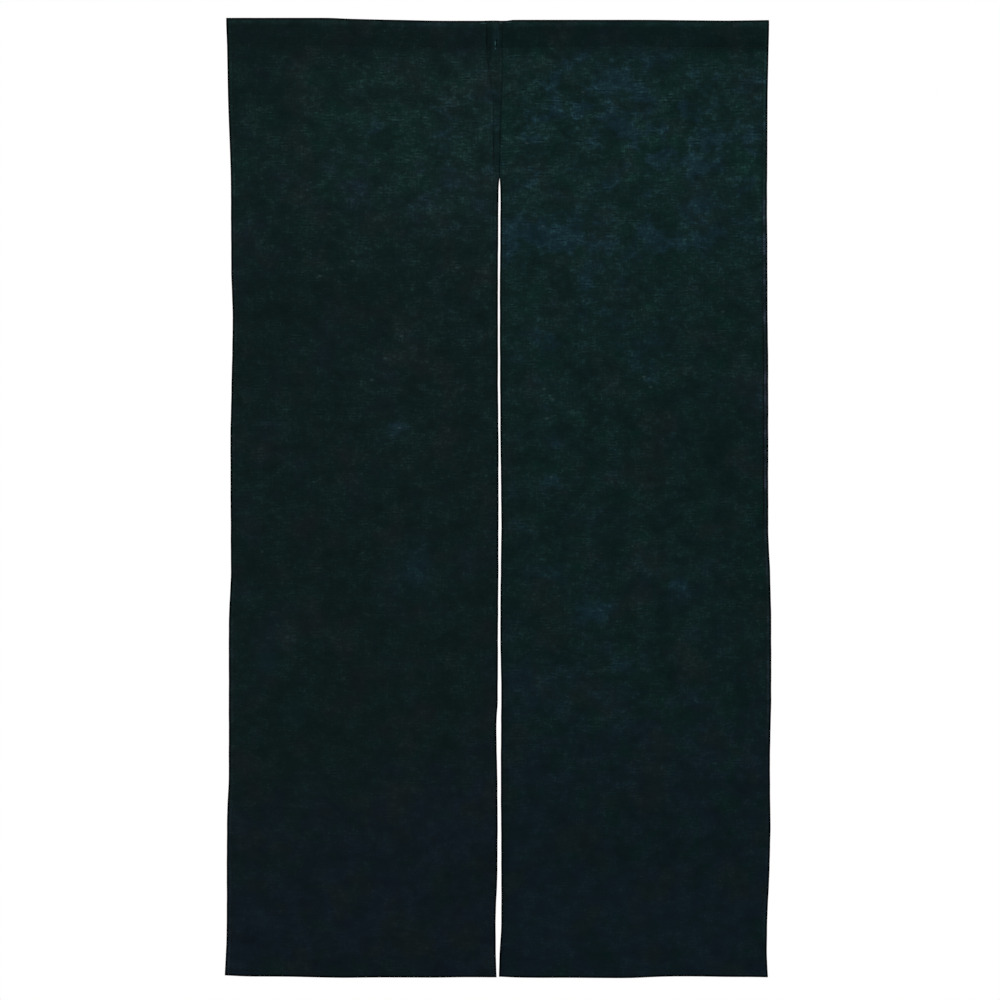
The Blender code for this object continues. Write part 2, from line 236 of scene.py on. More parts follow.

# How much paler and bluer the turned hem looks down each outer side, and how strong the painted shade along
# its stitch line is
HEM_COLUMNS = ("drop", "left_pale", "left_blue", "right_pale", "right_blue", "right_line")
HEM_LOOK = (
    (0.000, 0.20, 0.00, 0.30, 0.00, 0.10),
    (0.060, 0.25, 0.00, 0.50, 0.00, 0.15),
    (0.130, 0.35, 0.00, 0.50, 0.05, 0.20),
    (0.250, 0.25, 0.00, 0.30, 0.20, 0.25),
    (0.300, 0.15, 0.10, 0.42, 0.45, 0.30),
    (0.430, 0.25, 0.12, 0.38, 0.55, 0.45),
    (0.520, 0.22, 0.12, 0.56, 0.70, 0.85),
    (0.770, 0.08, 0.00, 0.60, 0.70, 0.90),
    (0.810, 0.06, 0.00, 0.30, 0.45, 0.20),
    (0.980, 0.12, 0.12, 0.25, 0.35, 0.12),
    (1.060, 0.20, 0.22, 0.35, 0.35, 0.12),
    (1.150, 0.10, 0.12, 0.12, 0.20, 0.12),
    (1.400, 0.20, 0.10, 0.10, 0.05, 0.15),
    (1.500, 0.35, 0.22, 0.15, 0.05, 0.20),
)

# Where the teal turns to navy: the drop at the slit and at the side, and how gradually
NAVY_LEFT = (1.150, 1.290, 0.160)
NAVY_RIGHT = (1.080, 1.120, 0.260)

# Small marks at the seam's head, front only: across, height, half width, half height, colour, strength
# The shade marks are painted shadow in the seam, and the pale marks along the very top painted highlights
SEAM_MARKS = (
    (-0.0165, -0.0400, 0.0052, 0.0230, "shade", 0.42),
    (-0.0145, -0.0700, 0.0030, 0.0240, "shade", 0.30),
    (-0.0050, -0.0320, 0.0062, 0.0190, "blue", 0.50),
    (-0.0040, -0.1550, 0.0052, 0.0900, "shade", 0.26),
    (-0.0094, -0.1900, 0.0013, 0.0300, "shade", 0.45),
    (-0.0060, -0.0110, 0.0038, 0.0040, "fleck_and_highlight", 0.10),
    (-0.0020, -0.0290, 0.0016, 0.0110, "fleck_and_highlight", 0.06),
    (-0.0070, -0.0300, 0.0026, 0.0110, "fleck_and_highlight", 0.05),
    (-0.0250, -0.0056, 0.0048, 0.0006, "fleck_and_highlight", 0.75),
    (0.0030, -0.0054, 0.0030, 0.0006, "fleck_and_highlight", 0.60),
    (-0.0066, -0.0368, 0.0008, 0.0030, "fleck_and_highlight", 0.90),
    (-0.0063, -0.0446, 0.0009, 0.0012, "fleck_and_highlight", 0.75),
    (-0.0046, -0.0325, 0.0012, 0.0022, "shade", 1.00),
    (-0.0046, -0.0388, 0.0012, 0.0022, "shade", 1.00),
)
# A painted highlight on the right panel's pocket top
EDGE_MARKS = ((0.0145, -0.0042, 0.0042, 0.0006, "fleck_and_highlight", 0.55),)

# Spots where the yarn is worn pale, front only: their half width and height, then across, height, strength
WORN_SPOT = (0.0027, 0.0015)
WORN_LEFT = (
    (-0.230, -0.378, 0.30), (-0.157, -0.639, 0.29), (-0.029, -0.171, 0.23), (-0.067, -0.388, 0.23),
    (-0.281, -0.401, 0.26), (-0.153, -0.495, 0.24), (-0.200, -0.564, 0.24), (-0.331, -0.971, 0.24),
    (-0.074, -0.276, 0.19), (-0.187, -0.263, 0.20), (-0.179, -0.530, 0.21),
)
WORN_RIGHT = (
    (0.043, -0.193, 0.27), (0.068, -0.323, 0.27), (0.226, -0.559, 0.30), (0.175, -0.144, 0.23),
    (0.070, -0.578, 0.27), (0.082, -0.716, 0.26), (0.131, -0.113, 0.23), (0.075, -0.624, 0.24),
    (0.143, -0.915, 0.23), (0.237, -0.575, 0.23), (0.350, -0.457, 0.21), (0.083, -0.594, 0.21),
    (0.139, -0.257, 0.20), (0.107, -0.851, 0.20), (0.269, -0.891, 0.23),
)

# The two panels: their edges and which one is at the slit, the phases of the gathers along the slit hem and
# the outer hem, how far the foot swings to the back, where the yarn pattern starts, and how the dye took
LEFT = {
    "name": "left",
    "low_edge": "left_side",
    "high_edge": "slit_left",
    "slit_is_low": False,
    "gathers": (2.1, 0.4),
    "swing": -0.0060,
    "pattern": (0.730, 2.110),
    "seed": 3.0,
    "red": 1.08,
    "variety": 0.65,
    "navy": NAVY_LEFT,
    "marks": SEAM_MARKS,
    "worn": WORN_LEFT,
}
RIGHT = {
    "name": "right",
    "low_edge": "slit_right",
    "high_edge": "right_side",
    "slit_is_low": True,
    "gathers": (0.4, 2.1),
    "swing": 0.0048,
    "pattern": (3.270, 0.400),
    "seed": 17.0,
    "red": 0.95,
    "variety": 1.15,
    "navy": NAVY_RIGHT,
    "marks": EDGE_MARKS,
    "worn": WORN_RIGHT,
}

# Columns near an edge, distances in from it; the stitch line is the one at STITCH_INSET
STITCH_INSET = 0.0080
NOSE_INSET = 0.0010
EDGE_STEPS = (
    0.0, 0.00010, 0.00035, 0.0010, 0.0022, 0.0030, 0.0040, 0.0054, 0.0062, 0.0068,
    0.0074, 0.0080, 0.0083, 0.0087, 0.0090, 0.0092, 0.0098, 0.0112, 0.0140,
)
PANEL_WIDTH = 0.4215
FREE_SPACING = 0.0066

# Rows: distances up from the foot, then drops round the slit head and the heading
FOOT_STEPS = (
    0.0, 0.00010, 0.00035, 0.0010, 0.0021, 0.0036, 0.0064, 0.0080,
    0.0086, 0.0090, 0.0094, 0.0098, 0.0100, 0.0102, 0.0112, 0.0140,
)
FOOT_STITCH = 0.0090
SLIT_ROWS = (0.2620, 0.2560, 0.2515, HEM_HEAD, 0.2458, SLIT_HEAD, SEAM_FOOT, 0.2405, 0.2370, 0.2320)
HEADING_ROWS = (0.0500, 0.0470, SEAM_HEAD, 0.0447, 0.0442, HEADING_DROP, 0.0437, 0.0431, 0.0425, POCKET_DROP)
ROW_SPACING = 0.0058
POCKET_SIDE_DROPS = (0.0420, 0.0416, 0.0411, 0.0403, 0.0390, 0.0365, 0.0325, 0.0280, 0.0230, 0.0180, 0.0130)
POCKET_ARC_STEPS = 18
FLAP_SHARES = (0.10, 0.25, 0.45, 0.65, 0.82, 0.93, 0.975, 0.993, 1.0)

# Rounded edges, stitch grooves, and a drop just past the turned heading
NOSE_ROUND = 0.0009
NOSE_LEAST = 0.12
LAP_NOSE = 0.00045
TURN_ROUND = 0.0005
GROOVE_HALF = 0.0006
BACK_GROOVE = 0.8
CROTCH_RISE = 0.0008
PAST_HEADING = HEADING_DROP + 0.0001
TURN = 2 * np.pi

# Below the slit's head: where its folds start to stand out and are full, and where its edges wander in full
SLIT_FOLDS_FROM = 0.250
SLIT_FOLDS_FULL = 0.320
WANDER_FULL = 0.300

# The edges' wandering: how far, pitch, how much the phase sways and the pitch of that
EDGE_WAVES = ((0.00010, 0.083, 1.1, 0.31), (0.00006, 0.034, 0.9, 0.19))
LOW_EDGE_SHIFT = 0.4

# Ripples of the cloth: share, pitch across and down, phase, then the sway's size, pitch and way
RIPPLES = (
    (0.48, 0.137, 0.61, 0.0, 0.8, 0.37, "down"),
    (0.30, 0.091, -0.43, 1.9, 0.0, 1.0, "across"),
    (0.16, 0.047, 0.167, 0.0, 1.3, 0.21, "across"),
    (0.12, 0.33, 0.071, 0.0, 1.1, 0.16, "across"),
)
RIPPLE_LEAST = 0.35
RIPPLE_WAKES = (0.03, 0.20)

# The pocket: unevenness as height, pitch and phase, the front share where its lap starts and is full, the
# same for its lift, and the depths between which there is room for hem and unevenness
POCKET_WAVES = ((0.00022, 0.118, 0.9), (0.00015, 0.053, 0.0))
POCKET_LAP = (0.5, 0.9)
POCKET_LIFT = (0.2, 0.5)
POCKET_ROOM = (0.0010, 0.0045)
POCKET_SIDE_DIP = 0.6

# The lap's slopes, past the stitch line: where each starts and where it is full, front and back
LAP_SLOPE_FRONT = (0.0032, 0.0005)
LAP_SLOPE_BACK = (0.0036, 0.0016)
CROWN_HEIGHT = 0.00030

# How far the gathers reach from the side and slit hems, from the foot's stitches and from the heading's
SIDE_GATHERS = 0.0085
FOOT_GATHERS = 0.0095
HEAD_GATHERS = 0.0070
GATHERS_GROW = 0.05

# Painted shade along the folded edges, the seam's join and the stitch lines, pale strips along the hems,
# and a painted highlight along the pocket's rounded top: where each one starts and ends, and how strong it
# is
FOLD_LINE = (0.0034, 0.0021)
STRIP_INNER = (0.0074, 0.0062)
STRIP_OUTER = (0.0024, 0.0036)
POCKET_HIGHLIGHT_TOP = (0.0020, 0.0045)
POCKET_HIGHLIGHT_FOOT = (0.0120, 0.0070)
POCKET_HIGHLIGHT_SHARE = 0.45
JOIN_HALF = 0.0012
SHADED_LINE = (0.0073, 0.0011)
PLAIN_LINE = 0.18
SEAM_LINE_MORE = 0.32
FOOT_LINE = 0.12
HEAD_LINE = 0.02
FLAP_TIP_DARK = 0.8

# Dye patches: how sharply they end, and the most that the fading can add up to
PATCH_FALL = -0.8
FADED_MOST = 1.6
PANEL_REACH = 0.42

# The seam allowance: how far from the seam it has grown to its full thickness. The weave: how uneven it is
FLAP_GROWN = 0.0020
UNEVEN_THREADS = 0.35


def table_value(columns, rows, name, at):
    """Reads one named column at any value of the first one, on a smooth curve that never overshoots."""
    stations = np.array([row[0] for row in rows])
    values = np.array([row[columns.index(name)] for row in rows])
    steps = np.diff(values) / np.diff(stations)
    before = steps[:-1]
    after = steps[1:]
    same_way = before * after > 0
    total = np.where(same_way, before + after, 1.0)
    inner = np.where(same_way, 2 * before * after / total, 0.0)
    slopes = np.concatenate([steps[:1], inner, steps[-1:]])
    at = np.clip(at, stations[0], stations[-1])
    low = np.clip(np.searchsorted(stations, at) - 1, 0, len(stations) - 2)
    span = stations[low + 1] - stations[low]
    t = (at - stations[low]) / span
    rise = values[low + 1] - values[low]
    bend = slopes[low] * span * t * (1 - t) ** 2 - slopes[low + 1] * span * t**2 * (1 - t)
    return values[low] + rise * t**2 * (3 - 2 * t) + bend


def ramp(value, start, end):
    """0 at start, 1 at end, with soft shoulders; start may be the greater."""
    t = np.clip((value - start) / (end - start), 0.0, 1.0)
    return t * t * (3 - 2 * t)


def bell(value, half_width):
    return np.exp(-((value / half_width) ** 2))


def wave(along, pitch, bend=0.0, bend_pitch=1.0, phase=0.0, bend_phase=0.0):
    """A sine whose own phase sways, so that its crests are unevenly spaced."""
    return np.sin(TURN * along / pitch + bend * np.sin(TURN * along / bend_pitch + bend_phase) + phase)


def outline(name, drop):
    return table_value(SECTION_COLUMNS, SECTIONS, name, drop)


def seam(name, drop):
    return table_value(SEAM_COLUMNS, SEAM, name, drop)


def seam_stitch(drop):
    """Where the seam's stitches run, across from the middle."""
    return seam("lap", drop) - seam("stitch", drop)


def below_slit(drop):
    return ramp(drop, SLIT_HEAD, HEM_HEAD)


def height_of(across, drop):
    """Turns a nominal drop into a height, so that the rows follow the uneven top and bottom edges."""
    share = drop / HEIGHT
    top = table_value(EDGE_COLUMNS, EDGES, "top_rise", across)
    foot = table_value(EDGE_COLUMNS, EDGES, "foot_rise", across)
    return -drop + (top + TOP_OUT) * (1 - share) + (foot - FOOT_OUT) * share


def points_at(across, depth, drop):
    return np.column_stack([across, depth, height_of(across, drop)])


def edge_wander(drop):
    """A sewn edge never runs quite straight."""
    return sum(reach * wave(drop, *shape) for reach, *shape in EDGE_WAVES)


def edge_line(name, drop):
    """One edge's outline. Side folds stand out all the way down, slit folds from the slit's head on."""
    free = ramp(drop, SLIT_FOLDS_FROM, SLIT_FOLDS_FULL) if name.startswith("slit") else 1.0
    return outline(name, drop) + FOLD_OUT[name] * free


def low_edge(side, drop):
    wander = edge_wander(drop + LOW_EDGE_SHIFT) * ramp(drop, SLIT_HEAD, WANDER_FULL)
    return edge_line(side["low_edge"], drop) + wander


def high_edge(side, drop, lap_share):
    """lap_share is 1 where the left panel's edge laps over the right panel, and 0 where it can't."""
    edge = edge_line(side["high_edge"], drop) + edge_wander(drop) * ramp(drop, SLIT_HEAD, WANDER_FULL)
    return edge if side["slit_is_low"] else edge + seam("lap", drop) * lap_share


def insets(side, across, drop, lap_share):
    """Distances in from the slit or seam edge and from the outer edge."""
    from_low = across - low_edge(side, drop)
    from_high = high_edge(side, drop, lap_share) - across
    return (from_low, from_high) if side["slit_is_low"] else (from_high, from_low)


def stretch_inset(side, inset, drop):
    """Near the left panel's slit edge the columns spread, so that one of them stays on the stitch line."""
    if side["slit_is_low"]:
        return inset
    scale = (seam("stitch", drop) - NOSE_INSET) / (STITCH_INSET - NOSE_INSET)
    beyond = max(inset - STITCH_INSET, 0.0)
    within = min(max(inset - NOSE_INSET, 0.0), STITCH_INSET - NOSE_INSET)
    return min(inset, NOSE_INSET) + within * scale + beyond


def across_of(side, share, inset, drop, lap_share):
    """A column's place. Share is 0 or 1 for a column that keeps its distance from that edge."""
    low = low_edge(side, drop)
    high = high_edge(side, drop, lap_share)
    widest = EDGE_STEPS[-1]
    if share == 0.0:
        return low + inset
    if share == 1.0:
        return high - stretch_inset(side, inset, drop)
    return low + widest + share * (high - stretch_inset(side, widest, drop) - low - widest)


def column_places():
    """Every column from the low edge to the high one, as share and inset."""
    count = int(round((PANEL_WIDTH - 2 * EDGE_STEPS[-1]) / FREE_SPACING))
    low = [(0.0, inset) for inset in EDGE_STEPS]
    free = [(i / count, 0.0) for i in range(1, count)]
    return low + free + [(1.0, inset) for inset in reversed(EDGE_STEPS)]


def evenly(start, end, spacing):
    """Values after start and before end, about one spacing apart."""
    count = max(1, int(round(abs(end - start) / spacing)))
    return [start + (end - start) * i / count for i in range(1, count)]


def row_drops():
    """Nominal drops from the foot up to the pocket's stitch line."""
    foot = [HEIGHT - step for step in FOOT_STEPS]
    lower = evenly(foot[-1], SLIT_ROWS[0], ROW_SPACING)
    upper = evenly(SLIT_ROWS[-1], HEADING_ROWS[0], ROW_SPACING)
    return np.array(foot + lower + list(SLIT_ROWS) + upper + list(HEADING_ROWS))


def fold_depth(across, drop):
    """The cloth's middle, measured to the back: the sum of the soft folds."""
    growth = ramp(drop, FOLD_HEAD, HEIGHT)
    start = ramp(drop, FOLD_HEAD, FOLD_FULL)
    depth = np.zeros(np.shape(across))
    for across_top, across_foot, half_width, to_front, head_share in FOLDS:
        crest = across_top + (across_foot - across_top) * drop / HEIGHT
        size = to_front * (head_share * start + (1 - head_share) * growth)
        depth = depth - size * bell(across - crest, half_width)
    return depth


def swing_depth(side, across, drop):
    """How far one panel stands off the common surface below the slit."""
    low = outline(side["low_edge"], drop)
    high = outline(side["high_edge"], drop)
    share = np.clip((across - low) / (high - low), 0.0, 1.0)
    if side["slit_is_low"]:
        share = 1 - share
    below = np.clip((drop - SLIT_HEAD) / (HEIGHT - SLIT_HEAD), 0.0, 1.0)
    return side["swing"] * share**2 * below**SWING_POWER


def soft_ripple(across, drop, height):
    """Small cockles of hanging linen, shared by both panels so that the seam stays shut."""
    total = 0.0
    for share, pitch_across, pitch_down, phase, sway, sway_pitch, way in RIPPLES:
        swayed = sway * wave(drop if way == "down" else across, sway_pitch)
        total = total + share * np.sin(TURN * (across / pitch_across + drop / pitch_down) + swayed + phase)
    calm = RIPPLE_LEAST + (1 - RIPPLE_LEAST) * ramp(drop, *RIPPLE_WAKES)
    return height * calm * total


def middle_depth(side, across, drop, sizes):
    """The smooth cloth's middle: folds, swing and ripple, before the gathers."""
    depth = fold_depth(across, drop) + swing_depth(side, across, drop)
    return depth + soft_ripple(across, drop, sizes.ripple_height)


def pucker(along, phase):
    """Uneven gathers along a line of stitches, between -1 and 1."""
    slow = wave(along, 0.0270, 1.7, 0.171, phase, phase)
    quick = wave(along, 0.0190, 1.2, 0.117, 2.3 * phase)
    strength = 0.55 + 0.45 * wave(along, 0.233, phase=phase)
    return strength * (0.65 * slow + 0.35 * quick)


def gathered_depth(side, from_slit, from_outer, across, drop, sizes):
    """The cloth's middle with the small waves that sewing leaves along the hems, dying away inwards."""
    slit_phase, outer_phase = side["gathers"]
    slit = pucker(drop, slit_phase) * bell(from_slit - STITCH_INSET, SIDE_GATHERS)
    slit = slit * ramp(drop, SLIT_HEAD, SLIT_HEAD + GATHERS_GROW)
    outer = pucker(drop, outer_phase) * bell(from_outer - STITCH_INSET, SIDE_GATHERS)
    foot = pucker(across, 1.2) * bell(HEIGHT - drop - FOOT_STITCH, FOOT_GATHERS)
    head = pucker(across, 3.0) * bell(drop - POCKET_DROP - 0.001, HEAD_GATHERS)
    return middle_depth(side, across, drop, sizes) + sizes.gather_height * (slit + outer + foot + head)


def nose(inset, radius):
    """A folded edge seen end on: NOSE_LEAST at the very edge, 1 from one radius in."""
    t = 1 - np.clip(inset / radius, 0.0, 1.0)
    return NOSE_LEAST + (1 - NOSE_LEAST) * np.sqrt(1 - t * t)


def turned(inside):
    """The rounded inner edge of a turned hem: 0 outside it, 1 a little way in."""
    t = 1 - np.clip(inside / TURN_ROUND, 0.0, 1.0)
    return np.where(inside > 0, np.sqrt(np.clip(1 - t * t, 0.0, 1.0)), 0.0)


def stitch_dips(side, from_slit, from_outer, drop):
    """1 along each line of stitches, 0 away from them: slit or seam, outer side, foot and heading."""
    if side["slit_is_low"]:
        slit = bell(from_slit - STITCH_INSET, GROOVE_HALF) * below_slit(drop)
    else:
        slit = bell(from_slit - seam("stitch", drop), GROOVE_HALF * (1 + 0.6 * ramp(drop, 0.12, 0.05)))
    outer = bell(from_outer - STITCH_INSET, GROOVE_HALF)
    foot = bell(HEIGHT - drop - FOOT_STITCH, GROOVE_HALF)
    return slit, outer, foot, bell(drop - POCKET_DROP, GROOVE_HALF)


def lap_shares(side, from_slit, drop):
    """How far the left panel is lifted over the seam allowance, at its front and at its back."""
    if side["slit_is_low"]:
        return 0.0 * drop, 0.0 * drop
    stitch = seam("stitch", drop)
    shut = 1 - ramp(drop, LAP_LET_GO, LAP_FREE)
    slopes = (LAP_SLOPE_FRONT, LAP_SLOPE_BACK)
    return tuple(ramp(from_slit, stitch + start, stitch + end) * shut for start, end in slopes)


def seam_crown(side, from_slit, drop):
    """The seam's layers swell a little between the stitch line and the lapped edge."""
    if side["slit_is_low"]:
        return 0.0 * drop
    share = np.clip(from_slit / seam("stitch", drop), 0.0, 1.0)
    uneven = 1 + 0.5 * wave(drop, 0.029, 1.4, 0.11)
    return CROWN_HEIGHT * uneven * np.sin(np.pi * share) * (1 - ramp(drop, SEAM_FOOT, LAP_FREE))


def cloth_faces(side, across, drop, lap_share, sizes):
    """Front and back depth of the hanging cloth, hems, grooves, gathers and lap included."""
    from_slit, from_outer = insets(side, across, drop, lap_share)
    middle = gathered_depth(side, from_slit, from_outer, across, drop, sizes)
    slit_hem = turned(sizes.hem_width - from_slit) * below_slit(drop)
    sides = np.maximum(slit_hem, turned(sizes.hem_width - from_outer))
    ends = np.maximum(turned(sizes.foot_hem - (HEIGHT - drop)), turned(HEADING_DROP - drop))
    extra = sizes.hem_height * np.maximum(sides, ends) + 0.5 * sizes.hem_height * np.minimum(sides, ends)
    dips = np.minimum(sum(stitch_dips(side, from_slit, from_outer, drop)), 1.0)
    lap_front, lap_back = lap_shares(side, from_slit, drop)
    below_heading = np.where(drop > PAST_HEADING, 1.0, 0.0)
    front = middle - FRONT_FROM_MIDDLE - LAP_RAISE * lap_front - seam_crown(side, from_slit, drop)
    front = front + sizes.groove_depth * dips
    back = middle - FRONT_FROM_MIDDLE + sizes.cloth_thickness + extra
    back = back - LAP_BACK_RAISE * lap_back * below_heading - BACK_GROOVE * sizes.groove_depth * dips
    in_seam = 1 - below_slit(drop)
    seam_nose = 1.0 if side["slit_is_low"] else nose(from_slit, LAP_NOSE)
    slit_nose = nose(from_slit, NOSE_ROUND) * (1 - in_seam) + seam_nose * in_seam
    rounding = slit_nose * nose(from_outer, NOSE_ROUND) * nose(HEIGHT - drop, NOSE_ROUND)
    pinch = 0.5 * (back - front) * (1 - rounding)
    return front + pinch, back - pinch


def pocket_path(sizes):
    """The pocket's cloth from its front stitch over the rod to its back: depth, drop, outward, frontness."""
    arc = np.linspace(0.0, np.pi, POCKET_ARC_STEPS + 1)
    side_drops = np.array(POCKET_SIDE_DROPS)
    share = (side_drops - POCKET_TOP) / (POCKET_DROP - POCKET_TOP)
    at_stitch = 0.5 * sizes.hem_height
    half = POCKET_RADIUS - (POCKET_RADIUS - at_stitch) * share**POCKET_BULGE
    depth = np.concatenate([-half, -POCKET_RADIUS * np.cos(arc), half[::-1]])
    drop = np.concatenate([side_drops, POCKET_TOP - POCKET_RADIUS * np.sin(arc), side_drops[::-1]])
    frontness = np.concatenate([0 * half + 1.0, np.clip(np.cos(arc), 0.0, 1.0), 0 * half])
    along_depth = np.gradient(depth)
    along_drop = np.gradient(drop)
    step = np.hypot(along_depth, along_drop)
    return depth, drop, along_drop / step, -along_depth / step, frontness


def pocket_lap(frontness):
    """The left panel's edge laps only round the pocket's front."""
    return ramp(frontness, *POCKET_LAP)


def pocket_rings(side, share, inset, sizes):
    """Outer and inner points of one column of the pocket, both from the front stitch over to the back."""
    depth, drop, out_depth, out_drop, frontness = pocket_path(sizes)
    lap_share = pocket_lap(frontness)
    lifted = ramp(frontness, *POCKET_LIFT)
    across = across_of(side, share, inset, drop, lap_share)
    from_slit, from_outer = insets(side, across, drop, lap_share)
    lap_front, _ = lap_shares(side, from_slit, drop)
    room = ramp(np.abs(depth), *POCKET_ROOM)
    slit_dip, outer_dip, _, head_dip = stitch_dips(side, from_slit, from_outer, drop)
    dip = sizes.groove_depth * np.minimum(head_dip + POCKET_SIDE_DIP * (slit_dip + outer_dip), 1.0)
    uneven = sum(height * wave(across, pitch, phase=phase) for height, pitch, phase in POCKET_WAVES)
    middle = gathered_depth(side, from_slit, from_outer, across, drop, sizes)
    centre = middle - FRONT_FROM_MIDDLE + 0.5 * (sizes.cloth_thickness + sizes.hem_height)
    thick = 0.5 * sizes.cloth_thickness * nose(np.minimum(from_slit, from_outer), LAP_NOSE)
    crown = seam_crown(side, from_slit, drop)
    outer_off = thick + (LAP_RAISE * lap_front + crown) * lifted - dip
    hem = sizes.hem_height * turned(sizes.hem_width - from_outer) * room
    inner_off = -thick - hem + LAP_BACK_RAISE * lap_front * lifted
    rings = []
    for off in (outer_off + uneven * room, inner_off + uneven * room):
        rings.append(points_at(across, centre + depth + off * out_depth, drop + off * out_drop))
    outer, inner = rings
    crotch = 0.5 * (inner[0] + inner[-1]) + (0.0, 0.0, CROTCH_RISE)
    return outer[1:-1], np.vstack([crotch, inner[1:-1]])


def fade_at(across, drop):
    """How faded the dye is, before the patches: a few given levels for each height."""
    def level(place):
        left, right = (table_value(FADE_COLUMNS, FADE, name + place, drop) for name in ("left_", "right_"))
        return np.where(across < 0, left, right)

    inner = level("inner")
    return inner + (level("outer") - inner) * ramp(np.abs(across), FADE_INNER, FADE_OUTER)


def dye_marks(side, across, drop):
    """The panel's faded, blue, green and navy levels at each point."""
    levels = np.array([fade_at(across, drop), np.zeros(len(across)), np.zeros(len(across))])
    for centre, centre_drop, half_across, half_drop, *added in PATCHES:
        distance = ((across - centre) / half_across) ** 2 + ((drop - centre_drop) / half_drop) ** 2
        levels += np.outer(added, np.exp(PATCH_FALL * distance))
    at_slit, at_side, softness = side["navy"]
    boundary = at_slit + (at_side - at_slit) * np.clip(np.abs(across) / PANEL_REACH, 0.0, 1.0)
    return {
        "faded": np.clip(levels[0], 0.0, FADED_MOST),
        "blue": np.clip(levels[1], 0.0, 1.0),
        "green": np.clip(levels[2], 0.0, 1.0),
        "navy": ramp(drop, boundary - softness, boundary + softness),
    }


def folded_edge_shade(inset):
    """Painted shade: the dark line along a turned edge, where the fold lies in shadow, about a thread and a
    half wide.
    """
    return ramp(inset, *FOLD_LINE)


def hem_look(name, drop):
    return table_value(HEM_COLUMNS, HEM_LOOK, name, drop)


def sewn_marks(side, across, drop, lap_share):
    """Painted shade along folded edges, the seam's join and stitch grooves, where the turned hems lie, and a
    painted highlight along the pocket's rounded top.
    """
    name = side["name"]
    from_slit, from_outer = insets(side, across, drop, lap_share)
    slit_line, outer_line, foot, head = stitch_dips(side, from_slit, from_outer, drop)
    outer_share = PLAIN_LINE
    if name == "right":
        shaded_inset, shaded_half = SHADED_LINE
        outer_line = bell(from_outer - shaded_inset, shaded_half)
        outer_share = hem_look("right_line", drop)
    free = ramp(drop, SLIT_HEAD, LAP_FREE)
    join = (0.25 + 0.30 * ramp(drop, 0.05, 0.12)) * bell(from_slit, JOIN_HALF) * (1 - free)
    dark = (
        folded_edge_shade(from_outer), folded_edge_shade(from_slit) * free, folded_edge_shade(HEIGHT - drop),
        folded_edge_shade(drop - 0.0004), join, outer_share * outer_line,
        (PLAIN_LINE + SEAM_LINE_MORE * (1 - free)) * slit_line, FOOT_LINE * foot, HEAD_LINE * head,
    )
    strip = ramp(from_outer, *STRIP_INNER) * ramp(from_outer, *STRIP_OUTER)
    # Painted highlight along the pocket's rounded top, where it turns up to the light
    pocket_highlight = ramp(drop, *POCKET_HIGHLIGHT_TOP) * ramp(drop, *POCKET_HIGHLIGHT_FOOT)
    return {
        "fold_shade": np.clip(np.maximum.reduce(dark), 0.0, 1.0),
        "hem": np.maximum(strip * hem_look(name + "_pale", drop), POCKET_HIGHLIGHT_SHARE * pocket_highlight),
        "hem_blue": strip * hem_look(name + "_blue", drop),
    }


def joined(marks):
    return {name: np.concatenate([found[name] for found in marks]) for name in marks[0]}


def panel_arrays(side, sizes):
    """One closed panel's points, column by column, and the marks at each of them."""
    drops = row_drops()
    heading_back = np.where(drops > PAST_HEADING, 1.0, 0.0)
    _, pocket_drop, _, _, frontness = pocket_path(sizes)
    round_laps = pocket_lap(frontness)
    ring_drops = np.concatenate([drops, pocket_drop[1:-1], drops[::-1], pocket_drop[:-1]])
    laps = np.concatenate([0 * drops + 1, round_laps[1:-1], heading_back[::-1], round_laps[:-1]])
    points = []
    marks = []
    for share, inset in column_places():
        sheets = []
        for face, lap_share in enumerate((1.0, heading_back)):
            across = across_of(side, share, inset, drops, lap_share)
            depth = cloth_faces(side, across, drops, lap_share, sizes)[face]
            sheets.append(points_at(across, depth, drops))
        fronts, backs = sheets
        outer, inner = pocket_rings(side, share, inset, sizes)
        points.append(np.vstack([fronts, outer, backs[::-1], inner]))
        place = points[-1][:, 0]
        marks.append(dye_marks(side, place, ring_drops) | sewn_marks(side, place, ring_drops, laps))
    return np.vstack(points), joined(marks)


def ring_lengths(sizes):
    """Where the yarn pattern stands at the start and at the end of each step round a column."""
    drops = row_drops()
    depth, drop, _, _, _ = pocket_path(sizes)
    steps = np.hypot(np.diff(depth), np.diff(drop))
    round_pocket = np.concatenate([[0.0], np.cumsum(steps)]) - POCKET_DROP
    heading = drops[::-1] < PAST_HEADING
    back = np.where(heading, round_pocket[-1] + (drops[::-1] - POCKET_DROP), -drops[::-1])
    start = np.concatenate([-drops, round_pocket[1:-1], back, round_pocket[:-1]])
    end = np.roll(start, -1)
    last_heading = len(drops) + len(round_pocket) - 2 + int(heading.sum()) - 1
    end[last_heading] = start[last_heading] + 0.001
    return start, end


def quads_between(columns, around, inside):
    """Faces between neighbouring columns, as corner numbers, with the ring step that each one covers."""
    steps = np.arange(around)
    inner_steps = around + np.arange(inside)
    here = np.concatenate([steps, around + (np.arange(inside) + 1) % inside])
    there = np.concatenate([(steps + 1) % around, inner_steps])
    size = around + inside
    one = np.column_stack([here, here + size, there + size, there])
    faces = np.vstack([one + j * size for j in range(columns - 1)])
    return faces, np.tile(np.concatenate([steps, inner_steps]), columns - 1)


def end_cap(start, rows, over, around, turned_round, left_open):
    """Closes one end: a ladder up the sheet, a triangle at the stitch line and a ladder round the pocket."""
    back_foot = around - 1
    ladder = [i for i in range(rows - 1) if not left_open[0] <= i < left_open[1]]
    cap = [(i, i + 1, back_foot - i - 1, back_foot - i) for i in ladder]
    outer = [rows - 1 + i for i in range(over + 2)]
    inner = [around] + [around + 1 + i for i in range(over)] + [around]
    cap.append((outer[0], inner[0], outer[-1]))
    cap += [(outer[k], outer[k + 1], inner[k + 1], inner[k]) for k in range(over + 1)]
    placed = [tuple(start + corner for corner in face) for face in cap]
    return [face[::-1] for face in placed] if turned_round else placed


